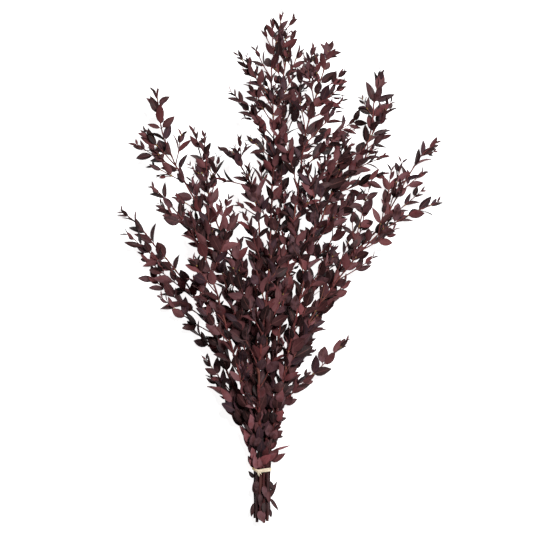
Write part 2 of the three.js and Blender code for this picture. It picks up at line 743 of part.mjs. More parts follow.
function growShoots({ stem, number, line: stemLine, centres }) {
  const bare = stem.cut + BARE.aboveTie;
  const places = leafPlaces(stemLine, centres, [number, 0], stem, bare, SPACING.onStem);
  stem.shoots.forEach((shoot, index) => {
    const keys = [number, index + 1];
    const bow = spread(SHOOT.bow, ...keys, DRAW.bow);
    const lifts = shoot.resting ? [0] : SHOOT_LIFTS;
    const ways = lifts.map((lift) => shootCurve(stemLine, centres, shoot, lift, bow));
    const line = firstClear(ways, shootTube, (piece) => piece.node === stem.name && piece.shoot === 0)
      ?? firstClear(ways, shootTube, (piece) => piece.node === stem.name);
    if (!line) throw new Error(`${stem.name}: the shoot from ${shoot.from} finds no free way`);
    place(stem.name, index + 1, 'wood', toSolid(shootTube(line)));
    const onShoot = leafPlaces(
      line, line.getSpacedPoints(shootRuns(line)), keys, stem, BARE.shoot, SPACING.onShoot,
    );
    places.push(...onShoot.map((spot) => ({ ...spot, resting: shoot.resting && spot.pair === 0 })));
  });
  return places.map((spot) => ({ ...spot, node: stem.name }));
}

function growLeaves(spots) {
  for (const spot of spots.filter(({ resting }) => resting)) {
    place(spot.node, spot.keys[1], 'leaf', toSolid(blade(restingLeaf(spot))));
  }
  for (const spot of spots.filter((one) => !one.resting && isCarried(one))) {
    const ways = LEAF_CLOSINGS
      .flatMap((closed) => LEAF_TURNS.map((turned) => growLeaf(spot, turned, closed)));
    const ownWood = ({ node, kind }) => node === spot.node && kind === 'wood';
    const leaf = firstClear(ways, blade, (piece) => ownWood(piece) && piece.shoot === spot.keys[1])
      ?? firstClear(ways, blade, ownWood)
      ?? firstClear(ways, blade, ({ node }) => node === spot.node);
    if (leaf) place(spot.node, spot.keys[1], 'leaf', toSolid(blade(leaf)));
  }
}

function growBasalLeaves(stems) {
  BASAL_LEAVES.forEach((spec, index) => {
    const { line, centres } = stems.find(({ stem }) => stem.name === spec.stem);
    const leaf = basalLeaf(spec, index, line, centres);
    const crossed = whatItCrosses(toSolid(blade(leaf, CLEARANCE)), ({ node }) => node === spec.stem);
    if (crossed) throw new Error(`the leaf of ${spec.stem} at ${spec.at} crosses ${crossed}`);
    place(spec.stem, 0, 'leaf', toSolid(blade(leaf)));
  });
}

const leafy = new THREE.MeshStandardMaterial({ color: COLOURS.leaf, roughness: 0.75, metalness: 0 });
const raffia = new THREE.MeshStandardMaterial({ color: COLOURS.raffia, roughness: 0.85, metalness: 0 });

const bunch = new THREE.Group();
bunch.position.set(-TIE_PLACE.left, -TIE_PLACE.below, 0);

function addPiece(name, solid, material) {
  const mesh = new THREE.Mesh(toGeometry(solid), material);
  mesh.name = name;
  bunch.add(mesh);
}

const tie = makeTie();
place('raffia_tie', 0, 'tie', tie);
const grownStems = growStems();
const spots = grownStems.flatMap(growShoots);
growBasalLeaves(grownStems);
growLeaves(spots);

for (const { name } of STEMS) {
  const solids = placed.filter(({ node }) => node === name).map(({ solid }) => solid);
  addPiece(name, join(solids), leafy);
}
addPiece('raffia_tie', tie.solid, raffia);

export default bunch;
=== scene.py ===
"""A bunch of preserved small-leaved eucalyptus, dyed burgundy, on a pale floor.

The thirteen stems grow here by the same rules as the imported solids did, from the same places, and carry
every leaf. Growth is worked out in millimetres from the middle of the tie, with X across the bunch, Y from
the cut ends to the tips and Z up from the floor. A finished mesh is in metres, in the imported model's frame.
"""

from __future__ import annotations

import logging
import math
from collections.abc import Iterable, Iterator, Sequence
from dataclasses import dataclass, field, replace
from enum import Enum, IntEnum
from functools import cache, cached_property

import bmesh
import bpy
import numpy as np
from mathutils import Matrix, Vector
from mathutils.kdtree import KDTree


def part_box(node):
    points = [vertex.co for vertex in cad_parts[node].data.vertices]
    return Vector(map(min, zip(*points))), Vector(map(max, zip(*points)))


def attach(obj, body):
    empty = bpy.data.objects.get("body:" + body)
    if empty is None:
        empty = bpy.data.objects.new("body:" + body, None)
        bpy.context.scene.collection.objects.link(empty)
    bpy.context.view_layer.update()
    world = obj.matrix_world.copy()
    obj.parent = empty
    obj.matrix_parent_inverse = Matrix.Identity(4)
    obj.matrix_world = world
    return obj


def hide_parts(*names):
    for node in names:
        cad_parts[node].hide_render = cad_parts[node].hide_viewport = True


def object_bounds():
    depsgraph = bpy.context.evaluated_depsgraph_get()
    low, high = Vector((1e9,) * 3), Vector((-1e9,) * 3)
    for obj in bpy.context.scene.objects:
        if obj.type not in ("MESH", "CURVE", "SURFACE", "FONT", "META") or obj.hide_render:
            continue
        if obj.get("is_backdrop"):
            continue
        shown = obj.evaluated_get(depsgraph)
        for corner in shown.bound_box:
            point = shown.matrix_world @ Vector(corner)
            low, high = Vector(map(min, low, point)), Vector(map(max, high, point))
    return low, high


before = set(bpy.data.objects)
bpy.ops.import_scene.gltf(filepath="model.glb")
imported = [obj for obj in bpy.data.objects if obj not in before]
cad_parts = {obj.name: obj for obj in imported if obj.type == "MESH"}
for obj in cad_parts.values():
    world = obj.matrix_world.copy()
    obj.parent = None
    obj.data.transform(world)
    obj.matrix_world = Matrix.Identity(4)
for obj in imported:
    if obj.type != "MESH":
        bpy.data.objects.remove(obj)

log = logging.getLogger("eucalyptus_bunch")

Array = np.ndarray
Socket = bpy.types.NodeSocket

MM = 0.001
UP = np.array([0.0, 0.0, 1.0])

# Random draws

SEED = 20417

# What stirs the keys of a draw, in whole numbers of 32 bits
WORD = 0xFFFFFFFF
KEY_OFFSET = 0x9E3779B9
FIRST_FACTOR, FIRST_SHIFT = 0x85EBCA6B, 13
SECOND_FACTOR, SECOND_SHIFT = 0xC2B2AE35, 16


class Draw(IntEnum):
    """What a random draw is for."""

    LENGTH = 1
    WIDTH = 2
    PHASE = 3
    SWAY = 4
    OPEN = 5
    ROLL = 6
    SPACING = 7
    RESTING = 8
    SINGLE = 9
    BOW = 20
    TWIG = 21
    TWIG_LENGTH = 22
    TWIG_OPEN = 23
    FOLD = 30
    TWIST = 31
    SWEEP = 32
    TAPER = 33
    WAVE = 34
    TONE = 35
    RED = 36
    DUST = 37
    BARK = 38
    WAVER = 39
    BUD = 40


@cache
def draw(*keys: int) -> float:
    """A number from 0 to 1 that depends only on its keys, so every leaf keeps its own draws.

    Args:
        keys: What the draw is for, as whole numbers.

    Returns:
        The number drawn.
    """
    mixed = SEED
    for key in keys:
        mixed = ((mixed ^ (key + KEY_OFFSET)) * FIRST_FACTOR) & WORD
        mixed ^= mixed >> FIRST_SHIFT
        mixed = (mixed * SECOND_FACTOR) & WORD
        mixed ^= mixed >> SECOND_SHIFT
    return mixed / (WORD + 1)


def spread(limits: tuple[float, float], *keys: int) -> float:
    """A number drawn evenly between two limits.

    Args:
        limits: The lowest and the highest number.
        keys: What the draw is for.

    Returns:
        The number drawn.
    """
    low, high = limits
    return low + (high - low) * draw(*keys)


# Directions


def unit(direction: Array) -> Array:
    """A direction at length 1."""
    return direction / math.sqrt(direction.dot(direction))


def cross(first: Array, second: Array) -> Array:
    """The direction square to two others.

    Args:
        first: The one to turn from.
        second: The one to turn to.

    Returns:
        Their cross product.
    """
    a, b, c = first
    d, e, f = second
    return np.array([b * f - c * e, c * d - a * f, a * e - b * d])


def unit_rows(directions: Array) -> Array:
    """Rows of directions, each at length 1."""
    return directions / np.linalg.norm(directions, axis=1)[:, None]


def square_to(along: Array, direction: Array) -> Array:
    """The part of a direction that is square to another, at length 1."""
    return unit(direction - along * direction.dot(along))


def turned_about(axis: Array, direction: Array, angle: float) -> Array:
    """A direction turned about an axis.

    Args:
        axis: The axis, at length 1.
        direction: What is turned.
        angle: How far, in radians.

    Returns:
        The turned direction.
    """
    cosine, sine = math.cos(angle), math.sin(angle)
    return direction * cosine + cross(axis, direction) * sine + axis * axis.dot(direction) * (1 - cosine)


# The lines that wood follows


class Line:
    """A curve from 0 to 1 whose places are also found by their share of its length."""

    STEPS = 200
    NUDGE = 1e-4

    def places(self, steps: Array) -> Array:
        """Points of the curve.

        Args:
            steps: Where on the curve, each from 0 to 1.

        Returns:
            A row for each point.
        """
        raise NotImplementedError

    def measure(self) -> None:
        """Works out the curve's length and how it grows along the curve."""
        self.marks = np.linspace(0, 1, self.STEPS + 1)
        runs = np.linalg.norm(np.diff(self.places(self.marks), axis=0), axis=1)
        self.reached = np.concatenate([[0.0], np.cumsum(runs)])

    @property
    def length(self) -> float:
        """The curve's length."""
        return float(self.reached[-1])

    def step(self, share: float | Array) -> float | Array:
        """Where on the curve a share of its length is reached."""
        return np.interp(np.asarray(share) * self.length, self.reached, self.marks)

    def at(self, share: float) -> Array:
        """The point at a share of the curve's length."""
        return self.places(np.array([float(self.step(share))]))[0]

    def spaced(self, count: int) -> Array:
        """Points that part the curve into runs of one length.

        Args:
            count: How many runs.

        Returns:
            A row for each point, one more than the runs.
        """
        return self.places(self.step(np.linspace(0, 1, count + 1)))

    def heading(self, share: float) -> Array:
        """The way that the curve runs.

        Args:
            share: Where, as a share of its length.

        Returns:
            The direction, at length 1.
        """
        step = float(self.step(share))
        ends = np.array([max(step - self.NUDGE, 0.0), min(step + self.NUDGE, 1.0)])
        before, after = self.places(ends)
        return unit(after - before)


class SmoothLine(Line):
    """A smooth curve through points, which the main stems follow."""

    TENSION = 0.5

    def __init__(self, points: Sequence[Array]) -> None:
        """Keeps the points, and one more past each end.

        Args:
            points: What the curve passes through, in order.
        """
        inner = np.array(points, float)
        before = 2 * inner[0] - inner[1]
        after = 2 * inner[-1] - inner[-2]
        self.points = np.vstack([before, inner, after])
        self.spans = len(inner) - 1
        self.measure()

    def places(self, steps: Array) -> Array:
        """Points of the curve.

        Args:
            steps: Where on the curve, each from 0 to 1.

        Returns:
            A row for each point.
        """
        along = np.asarray(steps) * self.spans
        span = np.minimum(along.astype(int), self.spans - 1)
        t = (along - span)[:, None]
        p0, p1, p2, p3 = (self.points[span + i] for i in range(4))
        leave = self.TENSION * (p2 - p0)
        arrive = self.TENSION * (p3 - p1)
        squared = -3 * p1 + 3 * p2 - 2 * leave - arrive
        cubed = 2 * p1 - 2 * p2 + leave + arrive
        return p1 + leave * t + squared * t**2 + cubed * t**3


class BowedLine(Line):
    """A curve with one bend, which the side shoots follow."""

    def __init__(self, base: Array, bend: Array, tip: Array) -> None:
        """Keeps the three points that shape the curve.

        Args:
            base: Where it starts.
            bend: What it leans towards at its middle.
            tip: Where it ends.
        """
        self.base, self.bend, self.tip = base, bend, tip
        self.measure()

    def places(self, steps: Array) -> Array:
        """Points of the curve, each step from 0 to 1."""
        t = np.asarray(steps)[:, None]
        return (1 - t) ** 2 * self.base + 2 * (1 - t) * t * self.bend + t**2 * self.tip


def onto_runs(centres: Array, place: Array) -> Array:
    """The nearest point to a place on the straight runs between a row of points.

    Args:
        centres: The row of points.
        place: Where to look from.

    Returns:
        The nearest point.
    """
    starts, ways = centres[:-1], np.diff(centres, axis=0)
    shares = np.einsum("ij,ij->i", place - starts, ways) / np.einsum("ij,ij->i", ways, ways)
    nearest = starts + np.clip(shares, 0, 1)[:, None] * ways
    return nearest[np.argmin(np.linalg.norm(nearest - place, axis=1))]


# Where the stems and shoots grow


@dataclass(frozen=True)
class ShootPlan:
    """A side shoot: the height at which it leaves its stem, where its tip is, and how far the tip rises.

    A resting shoot has sunk to the floor.
    """

    start: float
    tip: tuple[float, float]
    rise: float = 0.0
    resting: bool = False


@dataclass(frozen=True)
class StemPlan:
    """A main stem: where it passes the tie, how far below it is cut, its path and its side shoots.

    The size of its leaves, the gap between their pairs and its thickness are 1 for the usual ones.
    Its lift is how much lighter its leaves are painted than the usual ones, as a share: painted light where
    it is above 0 and painted shade where it is below 0, to even out how the lamp falls on its part of the
    bunch.
    """

    name: str
    tie: tuple[float, float]
    cut: float
    leaf: float
    gap: float
    path: tuple[tuple[float, float, float], ...]
    shoots: tuple[ShootPlan, ...]
    thick: float = 1.0
    lift: float = 0.0


def shoots(*plans: tuple[float, tuple[float, float], float | None]) -> tuple[ShootPlan, ...]:
    """Side shoots from their start, tip and rise. One with no rise rests on the floor."""
    return tuple(
        ShootPlan(start, tip, resting=True) if rise is None else ShootPlan(start, tip, rise)
        for start, tip, rise in plans
    )


STEMS = (
    StemPlan(
        "stem_tall", tie=(0, 0), cut=70, leaf=0.88, gap=1, lift=-0.07,
        path=((5, 100, 22), (8, 231, 38), (13, 366, 46), (16, 460, 44), (13, 541, 38), (27, 616, 30)),
        shoots=shoots(
            (568, (3, 594), 3), (560, (14, 606), 5), (585, (42, 610), 3), (530, (-8, 568), 8),
            (470, (-16, 520), 6), (490, (-20, 552), -4), (505, (-31, 562), 6), (450, (-42, 514), -4),
            (545, (35, 592), 4), (480, (40, 530), 6), (430, (-10, 488), 8), (420, (-14, 447), 10),
            (395, (25, 470), 12), (330, (-20, 400), -8), (300, (35, 375), 10), (250, (-15, 330), 12),
            (200, (30, 280), -10),
        ),
    ),
    StemPlan(
        "stem_tall_right", tie=(2.5, -5.4), cut=66, leaf=0.88, gap=1, lift=-0.08,
        path=((9, 100, 12), (18, 231, 18), (25, 366, 22), (29, 460, 24), (30, 541, 22), (41, 592, 20)),
        shoots=shoots(
            (525, (50, 568), 4), (500, (20, 560), 8), (545, (24, 586), 4), (478, (4, 530), -4),
            (465, (70, 570), 10), (425, (126, 475), None), (440, (52, 505), 6), (400, (60, 440), -4),
            (380, (-2, 440), -6), (300, (52, 380), 4), (240, (44, 318), 6), (180, (38, 262), 6),
        ),
    ),
    StemPlan(
        "stem_upper_right", tie=(2.5, 5.4), cut=72, leaf=0.92, gap=1, lift=-0.12,
        path=((12, 100, 38), (34, 270, 64), (51, 400, 70), (62, 470, 66), (80, 530, 58), (91, 574, 52)),
        shoots=shoots(
            (476, (108, 500), -6), (490, (106, 518), 4), (508, (108, 536), 8), (498, (60, 550), 6),
            (520, (72, 558), -4), (455, (50, 505), 6), (440, (98, 485), -12), (405, (100, 452), 4),
            (380, (30, 450), 8), (360, (92, 428), -8), (330, (80, 400), 6), (260, (70, 330), 10),
            (200, (20, 290), 8),
        ),
    ),
    StemPlan(
        "stem_right_spire", tie=(5, 0), cut=68, leaf=1.0, gap=1, lift=-0.16,
        path=(
            (22, 96, 24), (51, 245, 40), (92, 370, 46), (127, 418, 46),
            (146, 455, 44), (152, 500, 40), (160, 536, 36),
        ),
        shoots=shoots(
            (440, (174, 498), -6), (430, (165, 455), -10), (405, (163, 425), -14),
            (375, (162, 402), -6), (365, (112, 452), -12), (300, (120, 374), -12), (382, (150, 434), 8),
            (350, (115, 438), 8), (320, (62, 400), -8), (352, (128, 408), -10), (330, (134, 372), 6),
            (230, (95, 300), 6), (270, (106, 328), 8), (180, (35, 260), 8), (130, (66, 200), -6),
        ),
    ),
    StemPlan(
        "stem_far_right", tie=(7.5, -5.4), cut=64, leaf=0.95, gap=1.3, lift=-0.05,
        path=(
            (25, 90, 10), (58, 190, 14), (113, 281, 16), (160, 330, 16),
            (187, 378, 14), (214, 424, 12), (236, 445, 10),
        ),
        shoots=shoots(
            (378, (218, 404), -4), (352, (190, 418), 6), (340, (176, 407), -2), (335, (216, 379), 2),
            (322, (181, 345), None), (300, (141, 355), 6), (240, (90, 302), 4), (255, (134, 312), 2),
            (150, (68, 204), 2), (100, (52, 150), 4),
        ),
    ),
    StemPlan(
        "stem_low_right", tie=(10, 0), cut=60, leaf=0.98, gap=1.25, lift=-0.04,
        path=(
            (19, 75, 15), (37, 140, 23), (63, 200, 32), (99, 254, 38),
            (147, 311, 38), (190, 342, 34), (238, 364, 26),
        ),
        shoots=shoots(
            (88, (115, 175), -4), (78, (58, 128), 8), (195, (114, 256), -8), (170, (96, 232), 10),
            (130, (76, 208), 8), (258, (150, 288), -10), (300, (178, 326), -6), (288, (122, 345), 8),
            (248, (120, 318), 8), (284, (149, 394), -6), (320, (166, 360), 6), (225, (96, 298), 10),
        ),
    ),
    StemPlan(
        "stem_left_spire", tie=(-10, 0), cut=66, leaf=1.0, gap=1.12, lift=-0.05,
        path=(
            (-18, 90, 22), (-35, 190, 36), (-54, 270, 40), (-84, 352, 40),
            (-117, 415, 36), (-136, 462, 32), (-143, 512, 28),
        ),
        shoots=shoots(
            (408, (-169, 441), -4), (412, (-158, 458), -6), (414, (-109, 455), 6),
            (390, (-146, 413), -8), (350, (-112, 368), 8), (335, (-95, 392), -8), (318, (-70, 372), 8),
            (300, (-102, 340), 10), (270, (-92, 322), -6), (230, (-30, 308), 8), (180, (-75, 240), 8),
            (130, (-25, 222), 6),
        ),
    ),
    StemPlan(
        "stem_left_middle", tie=(-2.5, -5.4), cut=69, leaf=0.95, gap=1.08,
        path=(
            (-6, 95, 12), (-18, 200, 18), (-38, 285, 20), (-60, 333, 20),
            (-73, 380, 20), (-84, 430, 18), (-92, 460, 16),
        ),
        shoots=shoots(
            (385, (-78, 452), 10), (366, (-60, 424), 4), (345, (-84, 412), -4), (328, (-46, 368), 6),
            (306, (-36, 346), -2), (290, (-95, 345), -6), (240, (-78, 300), 2), (268, (-82, 335), 8),
            (200, (2, 290), 2), (150, (-46, 232), 4), (95, (8, 185), 4),
        ),
    ),
    StemPlan(
        "stem_left", tie=(-7.5, 5.4), cut=71, leaf=1.0, gap=1,
        path=(
            (-16, 75, 34), (-40, 165, 58), (-68, 265, 68),
            (-85, 306, 66), (-118, 354, 60), (-146, 383, 52),
        ),
        shoots=shoots(
            (325, (-136, 360), -8), (300, (-95, 345), 10), (265, (-42, 342), 8), (285, (-72, 356), -6),
            (240, (-92, 285), 8), (200, (-92, 258), -8), (170, (-84, 228), 6), (150, (-22, 250), 10),
            (130, (-68, 190), -10), (95, (-10, 165), 8), (55, (-60, 120), -8),
        ),
    ),
    StemPlan(
        "stem_far_left", tie=(-7.5, -5.4), cut=62, leaf=0.98, gap=1.15, lift=0.06,
        path=(
            (-22, 70, 9), (-46, 130, 12), (-70, 196, 14), (-101, 250, 14),
            (-127, 283, 13), (-149, 309, 12), (-172, 337, 10), (-190, 350, 8),
        ),
        shoots=shoots(
            (255, (-182, 321), 4), (232, (-162, 292), -2), (205, (-148, 259), None),
            (185, (-136, 234), -2), (150, (-98, 196), -4), (222, (-88, 284), 8), (140, (-58, 222), 8),
            (90, (-76, 150), 2), (65, (-68, 124), -2), (40, (-50, 96), 4),
        ),
    ),
    StemPlan(
        "stem_centre_left", tie=(-5, 0), cut=67, leaf=0.95, gap=1,
        path=(
            (-5, 100, 24), (-8, 230, 34), (-4, 330, 38), (-12, 375, 40),
            (-24, 405, 40), (-38, 426, 38), (-53, 434, 34),
        ),
        shoots=shoots(
            (412, (-30, 446), 8), (385, (-56, 396), -6), (345, (-30, 360), -6), (352, (0, 412), -8),
            (350, (-18, 408), 8), (300, (-22, 345), 10), (262, (-6, 306), 14), (225, (-30, 292), 6),
            (160, (-30, 240), -4),
        ),
    ),
    StemPlan(
        "stem_centre_front", tie=(-2.5, 5.4), cut=65, leaf=1.0, gap=1,
        path=((-4, 90, 46), (-4, 140, 60), (2, 200, 74), (8, 258, 80), (14, 308, 78)),
        shoots=shoots(
            (140, (-40, 225), 10), (185, (-42, 284), 6), (170, (32, 248), 6), (225, (-12, 290), 6),
            (110, (24, 168), 8), (75, (-26, 140), 8), (250, (38, 308), 2),
        ),
        thick=1.32,
    ),
    StemPlan(
        "stem_front_right", tie=(7.5, 5.4), cut=70, leaf=1.03, gap=1, lift=0.08,
        path=(
            (15, 55, 33), (27, 116, 54), (40, 184, 70), (55, 252, 76),
            (68, 313, 74), (79, 367, 70), (99, 414, 64), (114, 430, 60),
        ),
        shoots=shoots(
            (230, (94, 290), 8), (180, (74, 252), 6), (130, (64, 198), 6), (262, (42, 335), 8),
            (310, (108, 345), -6), (350, (60, 408), 4), (90, (43, 150), 4), (60, (14, 120), 10),
        ),
    ),
)


class Tint(Enum):
    """What is set for a leaf's colour instead of drawn."""

    DRAWN = ()
    # A tint's lift is painted light above 0 and painted shade below 0: the leaf is made lighter or darker for
    # how the lamp falls on it. Its tone, red, dust and bud are the leaf's own colour.
    CRIMSON = (("tone", 1.0), ("red", 1.0), ("dust", 0.0), ("lift", 0.85))
    ROSY = (("tone", 0.95), ("red", 0.85), ("dust", 0.9), ("lift", 0.55))
    DARK = (("tone", 0.0), ("red", 0.3), ("dust", 0.0), ("lift", -0.3))
    BUD = (("bud", 1.0),)


@dataclass(frozen=True)
class SingleLeafPlan:
    """A leaf placed by itself: its stem and height there, and its turn, opening, length and share of width.

    Its turn is in degrees round the stem: 0 is to the right, 90 up from the floor and 180 to the left.
    """

    stem: str
    at: float
    turn: float
    opening: float
    length: float
    wide: float
    tint: Tint = Tint.DRAWN


def single_leaves(*rows: tuple[str | float | Tint, ...]) -> tuple[SingleLeafPlan, ...]:
    """Single leaves from their stem, height, turn, opening, length, share of width and, where set, tint."""
    return tuple(SingleLeafPlan(*row) for row in rows)


# The leaves close to the tie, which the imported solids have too
BASAL_LEAVES = single_leaves(
    ("stem_low_right", 10, -8, 60, 26, 0.36),
    ("stem_front_right", 12, 32, 42, 26, 0.46),
    ("stem_upper_right", 15, 80, 24, 23, 0.42),
    ("stem_centre_front", 7, 100, 22, 24, 0.44, Tint.DARK),
    ("stem_left", 11, 132, 22, 23, 0.46, Tint.ROSY),
    ("stem_left_spire", 4, 170, 30, 18, 0.45, Tint.ROSY),
    ("stem_left_spire", 25, 176, 25, 29, 0.34, Tint.ROSY),
    ("stem_left_spire", -12, 168, 41, 14, 0.42, Tint.DARK),
    ("stem_left", -34, 124, 23, 20, 0.5),
    ("stem_left_spire", -43, 165, 166, 22, 0.33),
    ("stem_centre_front", -53, 62, 155, 20, 0.62),
    ("stem_upper_right", -20, 72, 156, 19, 0.42),
    ("stem_low_right", -14, 26, 156, 16, 0.45),
    ("stem_low_right", -41, 8, 23, 28, 0.22),
    ("stem_low_right", -37, -5, 146, 24, 0.22),
)

# More leaves close to the tie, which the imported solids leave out
TUCKED_LEAVES = single_leaves(
    ("stem_left", -1, 112, 15, 25, 0.34, Tint.ROSY),
    ("stem_centre_front", -0.5, 100, 16, 20, 0.34, Tint.ROSY),
    ("stem_upper_right", 13, 30, 50, 24, 0.46, Tint.ROSY),
    ("stem_centre_front", 8, 42, 54, 25, 0.5, Tint.CRIMSON),
    ("stem_upper_right", 0, 98, 15, 18, 0.3),
    ("stem_front_right", -1, 66, 18, 22, 0.34),
    ("stem_left_spire", 0, 140, 20, 22, 0.4, Tint.ROSY),
    ("stem_centre_front", 22, 70, 20, 25, 0.5),
    ("stem_left", 30, 95, 18, 26, 0.48),
    ("stem_left", -13, 104, 162, 17, 0.42),
    ("stem_centre_front", -30, 96, 166, 21, 0.32),
    ("stem_upper_right", -42, 84, 168, 19, 0.36),
    ("stem_front_right", -26, 62, 163, 20, 0.36),
    ("stem_low_right", -52, 40, 164, 14, 0.4),
    ("stem_low_right", 25, 4, 66, 30, 0.13, Tint.ROSY),
    ("stem_left_spire", 38, 174, 34, 30, 0.34),
    ("stem_left_spire", 62, 168, 58, 18, 0.42),
    ("stem_front_right", 44, 18, 38, 23, 0.5),
    ("stem_low_right", 46, -6, 88, 16, 0.36),
    ("stem_low_right", 66, 4, 62, 18, 0.4),
)

# The large leaves at the tips of the spires, in the scene alone
CROWN_LEAVES = single_leaves(
    ("stem_right_spire", 514, 20, 8, 27, 0.5),
    ("stem_right_spire", 500, 172, 33, 30, 0.34),
    ("stem_right_spire", 500, 4, 61, 30, 0.3),
    ("stem_right_spire", 484, 176, 76, 23, 0.42),
    ("stem_right_spire", 479, 8, 47, 29, 0.38),
    ("stem_left_spire", 483, 170, 18, 28, 0.42),
    ("stem_left_spire", 498, 6, 66, 19, 0.45),
    ("stem_left_spire", 464, 6, 62, 25, 0.44),
    ("stem_left_spire", 464, 174, 60, 20, 0.32),
    ("stem_upper_right", 559, 170, 15, 22, 0.46),
    ("stem_upper_right", 564, 6, 73, 19, 0.36),
    ("stem_upper_right", 567, 172, 60, 16, 0.32),
)

# The large leaves at the front of the neck, in the scene alone
NECK_LEAVES = single_leaves(
    ("stem_front_right", 42, 64, 24, 25, 0.5, Tint.ROSY),
    ("stem_front_right", 68, 52, 30, 26, 0.5, Tint.CRIMSON),
    ("stem_left", 54, 92, 14, 28, 0.46, Tint.ROSY),
    ("stem_left_spire", 33, 146, 28, 28, 0.4, Tint.ROSY),
    ("stem_upper_right", 60, 94, 12, 24, 0.6),
    ("stem_centre_front", 40, 98, 12, 26, 0.44),
    ("stem_front_right", 92, 80, 22, 26, 0.46, Tint.ROSY),
)

SINGLE_LEAVES = BASAL_LEAVES + TUCKED_LEAVES + CROWN_LEAVES + NECK_LEAVES


# Leaves


@dataclass(frozen=True)
class LeafHabit:
    """How leaves grow. A pair is counted from the tip of its shoot, where the youngest leaves are."""

    length: float = 27
    length_range: tuple[float, float] = (0.84, 1.14)
    width_range: tuple[float, float] = (0.36, 0.54)
    young: float = 0.44
    growth: float = 0.22
    narrow: float = 0.7
    widening: float = 0.1
    arch: float = 0.07
    opening_young: float = 28
    opening_per_pair: float = 3
    opening_most: float = 38
    opening_range: tuple[float, float] = (-14, 18)
    phase: float = 40
    sway: float = 16
    roll: float = 44
    turned_to_light: float = 0.52
    slim_heights: tuple[float, float] = (250, 400)
    slimmer: float = 0.08
    longer: float = 0.08
    less_lit: float = 0.22
    turns: tuple[float, ...] = (0, 22, -22, 44, -44, 66, -66, 88, -88)
    closings: tuple[float, ...] = (1, 0.6, 0.35)
    carried_on_shoot: tuple[int, tuple[int, ...]] = (5, (0, 3))
    carried_on_stem: tuple[int, tuple[int, ...]] = (6, (0,))


@dataclass(frozen=True)
class RestingHabit:
    """How the two end leaves of a shoot lie on the floor."""

    opening: float = 34
    length_range: tuple[float, float] = (0.8, 0.9)
    width: float = 0.42
    between: float = 2
    height: float = 0.65


@dataclass(frozen=True)
class SingleHabit:
    """How the leaves that are placed one by one are shaped. Their key is past the stems' numbers."""

    arch: float = 0.04
    roll: float = 12
    key: int = 90


@dataclass(frozen=True)
class Spacing:
    """How far apart the pairs of leaves are, and where the wood is bare."""

    youngest: float = 6
    per_pair: float = 3
    on_shoot: float = 14.5
    on_stem: float = 19
    range: tuple[float, float] = (0.85, 1.2)
    bare_tip: float = 1
    bare_shoot: float = 12
    bare_above_tie: float = 16


@dataclass(frozen=True)
class BudHabit:
    """The small yellowish buds that stand beside some leaves."""

    share: float = 0.09
    length: float = 3.6
    width: float = 1.8
    upright: float = 0.8


@dataclass(frozen=True)
class TwigHabit:
    """How the short twigs grow that stand beside some leaves, more of them towards the top of the bunch.

    A twig is no longer than a share of the wood ahead of it. Its key is past those of the shoots.
    """

    heights: tuple[float, float] = (300, 470)
    shares: tuple[float, float] = (0.08, 0.42)
    first_pair: int = 2
    length: tuple[float, float] = (15, 32)
    opening: tuple[float, float] = (24, 50)
    bow: float = 0.12
    leaf: float = 0.62
    bare: float = 5
    spacing: float = 8.5
    lowest: float = 5
    middle: tuple[float, float] = (60, 130)
    outer_share: float = 0.2
    share_ahead: float = 0.8
    runs: int = 4
    first_key: int = 100


LEAF = LeafHabit()
RESTING = RestingHabit()
SINGLE = SingleHabit()
SPACING = Spacing()
TWIG = TwigHabit()
BUD = BudHabit()

# Points spread over a blade, as shares of its length and of its width
SAMPLE_POINTS = np.array([
    (along, across * reach)
    for along, reach in ((0.3, 0.38), (0.5, 0.44), (0.7, 0.34), (0.88, 0.16), (1.0, 0.0))
    for across in (-1, 0, 1)
])


@dataclass
class Leaf:
    """One leaf: where it leaves its wood, the way that it points and faces, and its size."""

    root: Array
    along: Array
    normal: Array
    length: float
    width: float
    arch: float
    keys: tuple[int, ...]
    tint: Tint = Tint.DRAWN

    @property
    def tip(self) -> Array:
        """The leaf's point."""
        return self.root + self.along * self.length

    @property
    def side(self) -> Array:
        """The way across the blade."""
        return cross(self.normal, self.along)

    def samples(self) -> Array:
        """A few points over the blade, to tell what is near it.

        Returns:
            A row for each point.
        """
        shares, across = SAMPLE_POINTS.T
        lift = 4 * shares * (1 - shares) * self.arch
        return (
            self.root + np.outer(shares * self.length, self.along) + np.outer(across * self.width, self.side)
            + np.outer(lift * self.length, self.normal)
        )


